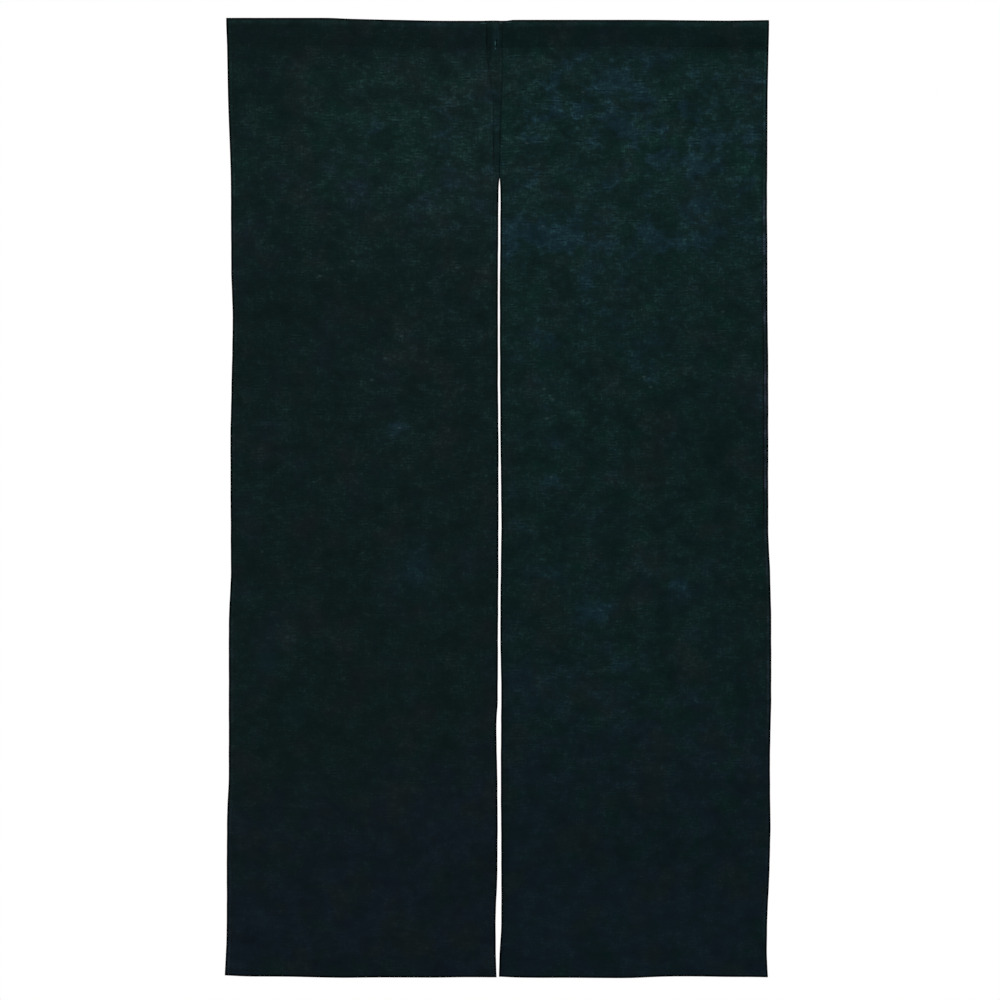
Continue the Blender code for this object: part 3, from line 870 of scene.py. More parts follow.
def flap_lines(side, drops, sizes):
    """The right panel's seam allowance, behind the left panel: its points from the seam to its tip."""
    root = low_edge(side, drops)
    stitch = seam_stitch(drops)
    tip = stitch - FLAP_PAST_STITCH
    lines = []
    for share in FLAP_SHARES:
        across = root + (tip - root) * share
        front = middle_depth(side, across, drops, sizes) - FRONT_FROM_MIDDLE
        grown = ramp(root - across, 0.0, FLAP_GROWN)
        thickness = sizes.cloth_thickness + (FLAP_THICKNESS - sizes.cloth_thickness) * grown
        groove = BACK_GROOVE * sizes.groove_depth * bell(across - stitch, GROOVE_HALF)
        back = front + thickness - groove
        pinch = 0.5 * (back - front) * (1 - nose(np.abs(across - tip), LAP_NOSE))
        lines += [points_at(across, front + pinch, drops), points_at(across, back - pinch, drops)]
    return lines


def add_flap(side, sizes, in_seam, around, points, marks):
    """Joins the seam allowance to the low edge of the panel, where end_cap left the ladder open."""
    drops = row_drops()[in_seam]
    count = len(drops)
    front = [int(i) for i in in_seam]
    back = [int(around - 1 - i) for i in in_seam]
    faces = []
    for k in range(len(FLAP_SHARES)):
        new_front = [len(points) + 2 * k * count + i for i in range(count)]
        new_back = [corner + count for corner in new_front]
        for i in range(count - 1):
            faces.append((new_front[i], front[i], front[i + 1], new_front[i + 1]))
            faces.append((back[i], new_back[i], new_back[i + 1], back[i + 1]))
        faces.append((front[0], new_front[0], new_back[0], back[0]))
        faces.append((new_front[-1], front[-1], back[-1], new_back[-1]))
        front = new_front
        back = new_back
    faces += [(front[i], front[i + 1], back[i + 1], back[i]) for i in range(count - 1)]
    block = np.vstack(flap_lines(side, drops, sizes))
    block_drops = np.tile(drops, 2 * len(FLAP_SHARES))
    found = dye_marks(side, block[:, 0], block_drops)
    # Painted shade along the allowance's tip, behind the left panel's edge
    found["fold_shade"] = np.where(np.arange(len(block)) < len(block) - 2 * count, 0.0, FLAP_TIP_DARK)
    found["hem"] = found["hem_blue"] = np.zeros(len(block))
    found["flat_across"] = block[:, 0] + side["pattern"][0]
    found["flat_along"] = side["pattern"][1] - block_drops
    return np.vstack([points, block]), joined([marks, found]), faces


def panel_mesh(side, sizes):
    """The whole panel as one closed mesh. The right panel carries the seam allowance too."""
    drops = row_drops()
    rows = len(drops)
    columns = len(column_places())
    over = len(pocket_path(sizes)[0]) - 2
    around = 2 * rows + over
    points, marks = panel_arrays(side, sizes)
    faces, steps = quads_between(columns, around, over + 1)
    start, end = ring_lengths(sizes)
    pattern_across, pattern_along = side["pattern"]
    marks["flat_across"] = points[:, 0] + pattern_across
    marks["flat_along"] = np.tile(start, columns) + pattern_along
    along = np.stack([start, start, end, end], axis=1)[steps] + pattern_along
    inner = steps >= around
    along[inner] = along[inner][:, ::-1]
    places = [np.stack([marks["flat_across"][faces], along], axis=2).reshape(-1, 2)]
    in_seam = np.nonzero((drops <= SEAM_FOOT) & (drops >= SEAM_HEAD))[0]
    left_open = (in_seam[0], in_seam[-1]) if side["slit_is_low"] else (0, 0)
    extra = end_cap(0, rows, over, around, False, left_open)
    extra += end_cap((columns - 1) * (around + over + 1), rows, over, around, True, (0, 0))
    if side["slit_is_low"]:
        points, marks, flap_faces = add_flap(side, sizes, in_seam, around, points, marks)
        extra += flap_faces
    flat = np.column_stack([marks.pop("flat_across"), marks.pop("flat_along")])
    places += [flat[list(face)] for face in extra]
    return build_mesh(side["name"] + "_cloth", points, faces.tolist() + extra, np.vstack(places), marks)


def build_mesh(name, points, faces, sheet_place, marks):
    """A smooth mesh with the yarn pattern's map and one attribute for each mark."""
    mesh = bpy.data.meshes.new(name)
    mesh.from_pydata(points, [], faces)
    cloth_map = mesh.uv_layers.new(name="cloth")
    cloth_map.uv.foreach_set("vector", np.ravel(sheet_place).astype(np.float32))
    for mark, values in marks.items():
        layer = mesh.attributes.new(mark, "FLOAT", "POINT")
        layer.data.foreach_set("value", np.asarray(values, np.float32))
    mesh.polygons.foreach_set("use_smooth", np.ones(len(mesh.polygons), bool))
    if mesh.validate():
        raise RuntimeError(f"{name}: the mesh had faces that are not allowed")
    mesh.update()
    return mesh


# Node helpers

NUMBER = "NodeSocketFloat"
VECTOR = "NodeSocketVector"
GEOMETRY = "NodeSocketGeometry"


class Wire:
    """An output socket that can be used in a formula."""

    def __init__(self, tree, socket):
        self.tree = tree
        self.socket = socket

    def __add__(self, other):
        return calculate(self.tree, "ADD", self, other)

    def __sub__(self, other):
        return calculate(self.tree, "SUBTRACT", self, other)

    def __mul__(self, other):
        return calculate(self.tree, "MULTIPLY", self, other)

    def __truediv__(self, other):
        return calculate(self.tree, "DIVIDE", self, other)


def feed(tree, socket, value):
    """Links a socket, or sets it to a plain value."""
    if isinstance(value, Wire):
        tree.links.new(value.socket, socket)
    else:
        socket.default_value = value


def wire(tree, kind, inputs, output=0, **options):
    """Adds a node, sets its options, then its inputs by name or number. Returns one of its outputs."""
    node = tree.nodes.new(kind)
    for name, value in options.items():
        setattr(node, name, value)
    for name, value in inputs.items():
        feed(tree, node.inputs[name], value)
    return Wire(tree, node.outputs[output])


def calculate(tree, operation, *values):
    return wire(tree, "ShaderNodeMath", dict(enumerate(values)), operation=operation)


def vector_of(tree, x, y, z=0.0):
    return wire(tree, "ShaderNodeCombineXYZ", {0: x, 1: y, 2: z})


def split(vector):
    first = wire(vector.tree, "ShaderNodeSeparateXYZ", {0: vector})
    return [Wire(vector.tree, socket) for socket in first.socket.node.outputs]


def map_value(value, from_low, from_high, to_low, to_high, way="SMOOTHSTEP"):
    """Maps one range to another and clips to it."""
    inputs = dict(enumerate((value, from_low, from_high, to_low, to_high)))
    return wire(value.tree, "ShaderNodeMapRange", inputs, interpolation_type=way, clamp=True)


def mix_colour(share, first, second):
    inputs = {0: share, 6: first, 7: second}
    return wire(share.tree, "ShaderNodeMix", inputs, output=2, data_type="RGBA", clamp_factor=True)


def scale_colour(first, factor):
    return wire(factor.tree, "ShaderNodeVectorMath", {0: first, "Scale": factor}, operation="SCALE")


def noise(vector, scale, detail=2.0, roughness=0.5, dimensions="2D"):
    inputs = {"Vector": vector, "Scale": scale, "Detail": detail, "Roughness": roughness}
    return wire(vector.tree, "ShaderNodeTexNoise", inputs, noise_dimensions=dimensions)


def object_place(tree):
    return wire(tree, "ShaderNodeTexCoord", {}, output="Object")


def attribute(tree, name):
    return wire(tree, "ShaderNodeAttribute", {}, output="Fac", attribute_name=name)


def open_tree(name, kind, inputs, outputs):
    """An empty node tree with named sockets. Returns it, its inputs by name and its output node."""
    tree = bpy.data.node_groups.new(name, kind)
    for socket_name, socket_kind, value in inputs:
        socket = tree.interface.new_socket(socket_name, in_out="INPUT", socket_type=socket_kind)
        if value is not None:
            socket.default_value = value
    for socket_name, socket_kind in outputs:
        tree.interface.new_socket(socket_name, in_out="OUTPUT", socket_type=socket_kind)
    entry = tree.nodes.new("NodeGroupInput")
    leave = tree.nodes.new("NodeGroupOutput")
    return tree, {socket.name: Wire(tree, socket) for socket in entry.outputs}, leave


def open_group(name, inputs, outputs):
    """An empty shader node group that takes a place and numbers, and gives numbers."""
    sockets = [("Place", VECTOR, None)] + [(key, NUMBER, value) for key, value in inputs.items()]
    return open_tree(name, "ShaderNodeTree", sockets, [(key, NUMBER) for key in outputs])


def use_group(group, **values):
    """Places a group and feeds its inputs. A socket's spaces are written as underscores."""
    tree = values["Place"].tree
    node = tree.nodes.new("ShaderNodeGroup")
    node.node_tree = group
    for name, value in values.items():
        feed(tree, node.inputs[name.replace("_", " ")], value)
    return {socket.name: Wire(tree, socket) for socket in node.outputs}


def plain_weave_group():
    """Warp over weft and weft over warp, with threads of uneven spacing."""
    numbers = {"Thread Pitch": 0.0011, "Unevenness": UNEVEN_THREADS}
    tree, given, leave = open_group("Plain weave", numbers, ("Height", "Shade"))
    one = calculate(tree, "DIVIDE", 1.0, given["Thread Pitch"])
    x, y, _ = split(scale_colour(given["Place"], one))
    sway_x = noise(vector_of(tree, x, y * 0.05), 0.31, 1.0)
    sway_y = noise(vector_of(tree, x * 0.05, y), 0.27, 1.0)
    sway = given["Unevenness"] * 4.0
    wave_x = calculate(tree, "SINE", (sway_x * sway + x) * np.pi)
    wave_y = calculate(tree, "SINE", (sway_y * sway + y) * np.pi)
    warp_up = wave_x * wave_y * 0.5 + 0.5
    warp = calculate(tree, "ABSOLUTE", wave_x) * warp_up
    weft = calculate(tree, "ABSOLUTE", wave_y) * calculate(tree, "SUBTRACT", 1.0, warp_up)
    height = calculate(tree, "MAXIMUM", warp, weft)
    feed(tree, leave.inputs["Height"], height)
    feed(tree, leave.inputs["Shade"], map_value(height, 0.05, 0.75, 0.80, 1.05))
    return tree


def yarn_streaks_group():
    """Short thick places in the yarn, drawn out along one thread direction."""
    numbers = {"Length": 0.018, "Width": 0.0022, "Cut Off": 0.52, "Softness": 0.16, "Seed": 0.0}
    tree, given, leave = open_group("Yarn streaks", numbers, ("Mask", "Level"))
    x, y, _ = split(given["Place"])
    along = x / given["Length"] + given["Seed"]
    over = given["Seed"] * 1.7 + y / given["Width"]
    level = noise(vector_of(tree, along, over), 1.0, 2.0, 0.6)
    top = given["Cut Off"] + given["Softness"]
    feed(tree, leave.inputs["Mask"], map_value(level, given["Cut Off"], top, 0.0, 1.0))
    feed(tree, leave.inputs["Level"], level)
    return tree


def dye_cloud_group():
    """Broad clouds where the cloth took the dye more or less."""
    numbers = {"Size": 0.05, "Stretch": 1.0, "Seed": 0.0}
    tree, given, leave = open_group("Dye clouds", numbers, ("Level",))
    x, y, _ = split(scale_colour(given["Place"], calculate(tree, "DIVIDE", 1.0, given["Size"])))
    place = vector_of(tree, x / given["Stretch"] + given["Seed"], y + given["Seed"])
    feed(tree, leave.inputs["Level"], noise(place, 1.0, 3.0, 0.55) - 0.5)
    return tree


def soft_spot_group():
    """A soft oval mark at one place on the front of the curtain."""
    numbers = {"Across": 0.0, "Height": 0.0, "Half Width": 0.001, "Half Height": 0.001}
    tree, given, leave = open_group("Soft spot", numbers, ("Mask",))
    x, y, z = split(given["Place"])
    dx = (x - given["Across"]) / given["Half Width"]
    dz = (z - given["Height"]) / given["Half Height"]
    on_front = calculate(tree, "LESS_THAN", y, 0.001)
    feed(tree, leave.inputs["Mask"], map_value(dx * dx + dz * dz, 0.0, 2.4, 1.0, 0.0) * on_front)
    return tree


# Dye clouds: the group's inputs, and the offset of the seed
CLOUD_COLUMNS = ("Size", "Stretch")
CLOUDS = {
    "wide": (0.135, 1.0, 0.0),
    "middle": (0.034, 1.2, 14.0),
    "fine": (0.0130, 1.4, 4.0),
    "hue": (0.040, 1.1, 9.0),
    "dull": (0.070, 1.1, 31.0),
}

# Yarn streaks: the same. Only the warp's run down the cloth
STREAK_COLUMNS = ("Length", "Width", "Cut_Off", "Softness")
STREAKS = {
    "weft": (0.0140, 0.0030, 0.51, 0.25, 0.0),
    "warp": (0.0160, 0.0031, 0.53, 0.20, 21.0),
    "slub": (0.0088, 0.0064, 0.57, 0.12, 43.0),
    "speck": (0.0048, 0.0028, 0.66, 0.06, 57.0),
    "ribbed": (0.0240, 0.0170, 0.57, 0.10, 65.0),
}
RIB_TURNS = 1340.0
# How dark the painted fold shade makes the cloth at most
FOLD_DARKNESS = -0.96


def opaque(colour):
    return tuple(colour) + (1.0,)


def principled(name, roughness, specular, sheen, sheen_tint):
    """A material with what is the same all over set on its shader: gloss and nap."""
    material = bpy.data.materials.new(name)
    material.use_nodes = True
    tree = material.node_tree
    shader = tree.nodes["Principled BSDF"]
    shader.inputs["Roughness"].default_value = roughness
    shader.inputs["Specular IOR Level"].default_value = specular
    shader.inputs["Sheen Weight"].default_value = sheen
    shader.inputs["Sheen Roughness"].default_value = 0.45
    shader.inputs["Sheen Tint"].default_value = sheen_tint
    return material, tree, shader


def add_relief(tree, shader, height, strength, distance):
    inputs = {"Strength": strength, "Distance": distance, "Height": height}
    feed(tree, shader.inputs["Normal"], wire(tree, "ShaderNodeBump", inputs))


def use_row(group, place, seed, columns, row):
    """Places a group with one row of a table. The row's last number is added to the panel's seed."""
    return use_group(group, Place=place, Seed=seed + row[-1], **dict(zip(columns, row)))


def mixed_dye(tree, side, ink, clouds, faded):
    """The dye: teal to navy, green, grey and blue patches, the hems' tint, and how light it all is."""
    wide, middle, fine, hue = (clouds[key] for key in ("wide", "middle", "fine", "hue"))
    navy = attribute(tree, "navy") * 0.86 + wide * 1.3 + hue * 1.4
    colour = mix_colour(navy, ink["teal"], ink["navy"])
    varied = (wide * 0.45 + (fine * 0.5 + hue)) * side["variety"]
    green = map_value(varied * -2.0 + attribute(tree, "green"), 0.05, 0.8, 0.0, 1.0)
    colour = mix_colour(green * map_value(faded, 0.0, 0.5, 0.3, 1.0), colour, ink["green"])
    grey = map_value(clouds["dull"], 0.01, 0.22, 0.0, 0.80) * map_value(faded, 0.25, 0.75, 0.95, 0.55)
    colour = mix_colour(grey, colour, ink["grey"])
    blue = map_value(varied * faded * 2.1 + attribute(tree, "blue"), 0.08, 0.8, 0.0, 0.85)
    colour = mix_colour(blue, colour, ink["blue"])
    uneven = map_value(middle + fine, -0.22, 0.22, 0.50, 1.30)
    colour = mix_colour(attribute(tree, "hem_blue") * uneven, colour, ink["lilac"])
    lift = map_value(faded, 0.0, 1.0, 1.0, 1.62, "LINEAR")
    light = fine * (faded * 0.42 + 0.30) + 1.0
    light = middle * (faded * 0.48 + 0.50) + light
    light = calculate(tree, "MAXIMUM", wide * 0.20 + light, 0.74)
    return scale_colour(colour, lift * light), uneven


def linen_material(side, groups, colours, sizes):
    """Dark indigo linen: uneven dye, slubs that show where it has faded, painted fold shade, painted
    highlights on the pocket's top and a plain weave.
    """
    name = side["name"] + "_linen"
    material, tree, shader = principled(name, 0.90, 0.016, 0.02, opaque(colours.fleck_and_highlight))
    place = wire(tree, "ShaderNodeUVMap", {}, uv_map="cloth")
    x, y, _ = split(place)
    faded = attribute(tree, "faded")
    ink = {}
    for key in ("teal", "navy", "blue", "green", "grey", "lilac", "fleck_and_highlight"):
        red, green, blue = getattr(colours, key)
        ink[key] = opaque((side["red"] * red, green, blue))
    seed = side["seed"]
    clouds = {}
    for key, row in CLOUDS.items():
        clouds[key] = use_row(groups["clouds"], place, seed, CLOUD_COLUMNS, row)["Level"]
    crossed = vector_of(tree, y, x)
    yarn = {}
    for key, row in STREAKS.items():
        laid = crossed if key == "warp" else place
        yarn[key] = use_row(groups["streaks"], laid, seed, STREAK_COLUMNS, row)
    weft, warp, slub, speck, ribbed = (yarn[key]["Mask"] for key in STREAKS)
    colour, uneven = mixed_dye(tree, side, ink, clouds, faded)

    clump = map_value(clouds["middle"] + clouds["fine"], -0.12, 0.22, 0.27, 1.0)
    strength = calculate(tree, "POWER", faded, 0.52) * 0.73 * clump
    beat = calculate(tree, "SINE", clouds["wide"] * 9.0 + y * RIB_TURNS)
    dark_line = map_value(yarn["weft"]["Level"], 0.30, 0.48, -0.52, 0.0)
    show = weft * 0.72 + warp * 0.76 + slub * 1.10 + ribbed * beat * 0.76 + dark_line
    colour = scale_colour(colour, show * strength * 0.74 + 1.0)
    bright = (speck * 0.58 + calculate(tree, "MAXIMUM", show, 0.0) * 0.050) * strength
    colour = mix_colour(bright, colour, ink["fleck_and_highlight"])

    pitch = sizes.thread_pitch
    weave = use_group(groups["weave"], Place=place, Thread_Pitch=pitch, Unevenness=UNEVEN_THREADS)
    colour = scale_colour(colour, weave["Shade"])
    # The hem mark lightens the turned side hems and carries the painted highlight on the pocket's rounded
    # top
    colour = scale_colour(colour, attribute(tree, "hem") * uneven + 1.0)
    where = object_place(tree)
    worn = tuple((across, height) + WORN_SPOT + ("worn", share) for across, height, share in side["worn"])
    # Marks on the front: painted shadow in the seam, painted highlights on the pocket's top, pale spots and
    # worn yarn
    for across, height, half_width, half_height, tone, share in side["marks"] + worn:
        spot = use_group(
            groups["spot"], Place=where, Across=across, Height=height, Half_Width=half_width,
            Half_Height=half_height
        )
        colour = mix_colour(spot["Mask"] * share, colour, opaque(getattr(colours, tone)))
    # Painted shade along folded edges, the seam's join, the allowance's tip and the stitch lines
    colour = scale_colour(colour, attribute(tree, "fold_shade") * FOLD_DARKNESS + 1.0)
    feed(tree, shader.inputs["Base Color"], colour)
    feed(tree, shader.inputs["Roughness"], bright * -0.10 + 0.90)
    add_relief(tree, shader, weave["Height"] + weft * 0.5 + warp * 0.3, 0.35, 0.0002)
    return material


def thread_material(colours):
    """Sewing thread: the cloth's colour, a little glossier, twisted."""
    material, tree, shader = principled("indigo_thread", 0.62, 0.12, 0.05, opaque(colours.fleck_and_highlight))
    where = object_place(tree)
    twist = noise(where, 900.0, dimensions="3D")
    wear = noise(where, 150.0, dimensions="3D")
    shade = map_value(twist, 0.3, 0.7, 0.8, 1.2, "LINEAR") * map_value(wear, 0.36, 0.66, 0.30, 2.1)
    feed(tree, shader.inputs["Base Color"], scale_colour(tuple(colours.thread), shade))
    add_relief(tree, shader, twist, 0.3, 0.0001)
    return material


def floor_material(colours):
    material, tree, shader = principled("pale_floor", 0.75, 0.25, 0.0, opaque((1.0, 1.0, 1.0)))
    grain = noise(object_place(tree), 3.0, 4.0, dimensions="3D")
    shade = map_value(grain, 0.3, 0.7, 0.97, 1.03, "LINEAR")
    feed(tree, shader.inputs["Base Color"], scale_colour(tuple(colours.floor), shade))
    return material


# Stitches: the least and greatest size of one, and the ways that they face
STITCH_SIZES = ((0.90, 0.90, 0.80), (1.06, 1.10, 1.20))
TO_FRONT = (0.0, -1.0, 0.0)
TO_BACK = (0.0, 1.0, 0.0)
LINE_STEP = 0.004
LINE_END = 0.0018
PANEL_LINES_HEAD = 0.0465
SLIT_LINE_HEAD = 0.2500
LINES_FOOT = HEIGHT - 0.003
SEAM_LINE = (0.0455, 0.2425)
FLAP_LINE = (0.0475, 0.2415, 50)


def stitch_tree():
    """Short arched stitches along every edge of a path, each standing off along the path's own out_way."""
    numbers = {"Stitch Length": 0.0026, "Stitch Gap": 0.0007, "Thread Radius": 0.0002, "Arch": 0.0004}
    sockets = [("Path", GEOMETRY, None)] + [(name, NUMBER, value) for name, value in numbers.items()]
    sockets += [("Seed", "NodeSocketInt", 7), ("Thread", "NodeSocketMaterial", None)]
    outputs = [("Stitches", GEOMETRY)]
    tree, given, leave = open_tree("Sewn stitches", "GeometryNodeTree", sockets, outputs)
    curve = wire(tree, "GeometryNodeMeshToCurve", {"Mesh": given["Path"]})
    pitch = given["Stitch Length"] + given["Stitch Gap"]
    spaced = wire(tree, "GeometryNodeResampleCurve", {"Curve": curve, "Length": pitch}, mode="LENGTH")

    half = given["Stitch Length"] * 0.5
    sunk = given["Arch"] * -0.5
    arc = wire(tree, "GeometryNodeCurveQuadraticBezier", {
        "Resolution": 4,
        "Start": vector_of(tree, half * -1.0, 0.0, sunk),
        "Middle": vector_of(tree, 0.0, 0.0, given["Arch"] * 1.6),
        "End": vector_of(tree, half, 0.0, sunk),
    })
    ring_inputs = {"Resolution": 5, "Radius": given["Thread Radius"]}
    ring = wire(tree, "GeometryNodeCurvePrimitiveCircle", ring_inputs, output="Curve")
    tube = wire(tree, "GeometryNodeCurveToMesh", {"Curve": arc, "Profile Curve": ring, "Fill Caps": True})

    out_way = wire(
        tree, "GeometryNodeInputNamedAttribute", {"Name": "out_way"}, output="Attribute",
        data_type="FLOAT_VECTOR"
    )
    turn = "FunctionNodeAlignRotationToVector"
    face_out = wire(tree, turn, {"Vector": out_way}, axis="Z")
    tangent = wire(tree, "GeometryNodeInputTangent", {})
    along = wire(tree, turn, {"Rotation": face_out, "Vector": tangent}, axis="X", pivot_axis="Z")
    least, greatest = STITCH_SIZES
    spread = {0: least, 1: greatest, "Seed": given["Seed"]}
    size = wire(tree, "FunctionNodeRandomValue", spread, data_type="FLOAT_VECTOR")
    parts = {"Points": spaced, "Instance": tube, "Rotation": along, "Scale": size}
    placed = wire(tree, "GeometryNodeInstanceOnPoints", parts)
    real = wire(tree, "GeometryNodeRealizeInstances", {0: placed})
    smooth = wire(tree, "GeometryNodeSetShadeSmooth", {0: real})
    dressed = wire(tree, "GeometryNodeSetMaterial", {"Geometry": smooth, "Material": given["Thread"]})
    feed(tree, leave.inputs[0], dressed)
    return tree


def add_object(name, data):
    made = bpy.data.objects.new(name, data)
    bpy.context.scene.collection.objects.link(made)
    return made


def sew(name, lines, tree, sizes, material):
    """Makes one plain mesh of stitches from lines, each an array of points and the way that it faces."""
    points = []
    edges = []
    ways = []
    for line, way in lines:
        first = len(points)
        points += [tuple(point) for point in line]
        edges += [(first + i, first + i + 1) for i in range(len(line) - 1)]
        ways += [way] * len(line)
    path = bpy.data.meshes.new(name + "_path")
    path.from_pydata(points, edges, [])
    layer = path.attributes.new("out_way", "FLOAT_VECTOR", "POINT")
    layer.data.foreach_set("vector", np.ravel(np.array(ways, np.float32)))
    guide = add_object(name + "_path", path)
    sewing = guide.modifiers.new("Stitches", "NODES")
    sewing.node_group = tree
    values = {
        "Stitch Length": sizes.stitch_length,
        "Stitch Gap": sizes.stitch_gap,
        "Thread Radius": 0.5 * sizes.thread_thickness,
        "Arch": sizes.stitch_arch,
        "Thread": material,
    }
    for item in tree.interface.items_tree:
        if item.in_out == "INPUT" and item.name in values:
            sewing[item.identifier] = values[item.name]
    bpy.context.view_layer.update()
    graph = bpy.context.evaluated_depsgraph_get()
    made = bpy.data.meshes.new_from_object(guide.evaluated_get(graph))
    bpy.data.objects.remove(guide, do_unlink=True)
    if not made.polygons:
        raise RuntimeError(f"{name}: no stitch was made")
    made.name = name
    return add_object(name, made)


def upright_line(side, inset, at_slit, top, foot, sizes, to_back):
    """A line of stitches down the cloth, a set distance in from its slit edge or its outer edge."""
    drops = np.linspace(top, foot, int((foot - top) / LINE_STEP) + 2)
    distance = inset(drops) if callable(inset) else inset
    on_low = side["slit_is_low"] == at_slit
    across = low_edge(side, drops) + distance if on_low else high_edge(side, drops, 1.0) - distance
    return laid_on(side, across, drops, sizes, to_back)


def level_line(side, drop, sizes, to_back):
    """A line of stitches across the cloth at one nominal drop, from edge to edge."""
    low = float(low_edge(side, np.array([drop]))[0]) + LINE_END
    high = float(high_edge(side, np.array([drop]), 0.0)[0]) - LINE_END
    across = np.linspace(low, high, int((high - low) / LINE_STEP) + 2)
    return laid_on(side, across, np.full(len(across), drop), sizes, to_back)


def laid_on(side, across, drops, sizes, to_back):
    front, back = cloth_faces(side, across, drops, 1.0, sizes)
    lift = 0.5 * sizes.thread_thickness
    depth = back + lift if to_back else front - lift
    return points_at(across, depth, drops), (TO_BACK if to_back else TO_FRONT)


def panel_lines(side, sizes):
    """Every line of stitches on one panel, front and back."""
    lines = []
    for to_back in (False, True):
        for at_slit, head in ((False, PANEL_LINES_HEAD), (True, SLIT_LINE_HEAD)):
            lines.append(upright_line(side, STITCH_INSET, at_slit, head, LINES_FOOT, sizes, to_back))
        for drop in (HEIGHT - FOOT_STITCH, POCKET_DROP + 0.0004):
            lines.append(level_line(side, drop, sizes, to_back))
    return lines


def seam_lines(sizes):
    """The seam's topstitching on the left panel's front, and the same line on the allowance behind."""
    front = upright_line(LEFT, lambda drops: seam("stitch", drops), True, *SEAM_LINE, sizes, False)
    drops = np.linspace(*FLAP_LINE)
    across = seam_stitch(drops)
    depth = middle_depth(RIGHT, across, drops, sizes) - FRONT_FROM_MIDDLE + FLAP_THICKNESS
    depth = depth - BACK_GROOVE * sizes.groove_depth + 0.5 * sizes.thread_thickness
    return [front, (points_at(across, depth, drops), TO_BACK)]


# What a user would change


def length(name, description, default):
    return bpy.props.FloatProperty(
        name=name, description=description, default=default, unit="LENGTH", precision=5
    )


def tint(name, description, default):
    return bpy.props.FloatVectorProperty(
        name=name, description=description, default=default, subtype="COLOR", size=3, min=0.0, max=1.0
    )


class NorenSizes(bpy.types.PropertyGroup):
    """Sizes of the cloth, its hems and its sewing."""

    cloth_thickness: length("Cloth thickness", "Thickness of one layer of linen", 0.0007)
    hem_width: length("Side hem", "Width of the turned hems at the sides and the slit", 0.0090)
    foot_hem: length("Foot hem", "Width of the turned hem at the bottom", 0.0100)
    hem_height: length("Hem layers", "How much thicker a turned hem is than the cloth", 0.0012)
    groove_depth: length("Stitch groove", "How far a line of stitches pulls the cloth in", 0.00028)
    gather_height: length("Gathers", "Height of the small waves along the hems", 0.00026)
    ripple_height: length("Ripple", "Height of the soft unevenness of the hanging cloth", 0.00075)
    thread_pitch: length("Thread spacing", "Distance between neighbouring threads of the weave", 0.0011)
    stitch_length: length("Stitch length", "Length of one visible stitch", 0.0026)
    stitch_gap: length("Stitch gap", "Gap between two stitches", 0.0007)
    stitch_arch: length("Stitch arch", "How far the middle of a stitch stands off", 0.00022)
    thread_thickness: length("Thread", "Thickness of the sewing thread", 0.00042)
    floor_drop: length("Floor below rod", "How far the floor lies below the hanging line", 1.780)
    floor_width: length("Floor width", "Side of the square floor", 6.0)
    floor_forward: length("Floor forward", "How far the floor's middle lies in front of the curtain", 1.2)


class NorenColours(bpy.types.PropertyGroup):
    """Dye, painted shade and highlight, thread and stage colours, linear."""

    teal: tint("Deep teal", "The dye over most of the cloth", (0.00266, 0.00770, 0.00752))
    navy: tint("Navy", "The dye towards the foot", (0.00345, 0.00730, 0.01095))
    blue: tint("Blue patch", "Patches that took more blue", (0.0032, 0.0097, 0.0128))
    green: tint("Green patch", "Patches that took more green", (0.0023, 0.0089, 0.0076))
    lilac: tint("Hem tint", "The pale violet look of the turned side hems", (0.0075, 0.0088, 0.0140))
    grey: tint("Dull patch", "Patches where the dye has gone dull", (0.0045, 0.0077, 0.0083))
    shade: tint("Shade", "Shadow in the seam and the needle holes", (0.0012, 0.0038, 0.0042))
    # Pale yarn, also the colour of the painted highlights on the pocket's top
    fleck_and_highlight: tint("Pale yarn", "Slubs where the dye has rubbed off", (0.025, 0.062, 0.066))
    worn: tint("Worn", "Pale bare yarn at worn spots", (0.040, 0.060, 0.064))
    thread: tint("Thread", "Sewing thread", (0.0042, 0.0098, 0.0108))
    floor: tint("Floor", "Plain pale floor", (0.78, 0.78, 0.77))


# Operators


def material_groups():
    """The shader groups that the two linens share, made once."""
    makers = {
        "weave": ("Plain weave", plain_weave_group),
        "streaks": ("Yarn streaks", yarn_streaks_group),
        "clouds": ("Dye clouds", dye_cloud_group),
        "spot": ("Soft spot", soft_spot_group),
    }
    return {key: bpy.data.node_groups.get(name) or make() for key, (name, make) in makers.items()}


def dress_panel(context, side):
    """Makes one panel's cloth on its CAD node, in its own linen."""
    sizes = context.scene.noren_sizes
    mesh = panel_mesh(side, sizes)
    mesh.materials.append(linen_material(side, material_groups(), context.scene.noren_colours, sizes))
    piece = add_object(side["name"] + "_cloth", mesh)
    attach(piece, "root")
    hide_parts(side["name"] + "_panel")
    return {"FINISHED"}


class NOREN_OT_left_panel(bpy.types.Operator):
    """Make the left panel, whose edge laps over the right panel at the seam."""

    bl_idname = "noren.left_panel"
    bl_label = "Left panel"

    def execute(self, context):
        return dress_panel(context, LEFT)


class NOREN_OT_right_panel(bpy.types.Operator):
    """Make the right panel, with the seam allowance behind the left panel."""

    bl_idname = "noren.right_panel"
    bl_label = "Right panel"

    def execute(self, context):
        return dress_panel(context, RIGHT)


class NOREN_OT_stitches(bpy.types.Operator):
    """Sew the hems, the heading and the seam."""

    bl_idname = "noren.stitches"
    bl_label = "Stitches"

    def execute(self, context):
        sizes = context.scene.noren_sizes
        thread = thread_material(context.scene.noren_colours)
        tree = stitch_tree()
        groups = (
            ("left_stitches", panel_lines(LEFT, sizes)),
            ("right_stitches", panel_lines(RIGHT, sizes)),
            ("seam_stitches", seam_lines(sizes)),
        )
        for name, lines in groups:
            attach(sew(name, lines, tree, sizes, thread), "root")
        return {"FINISHED"}


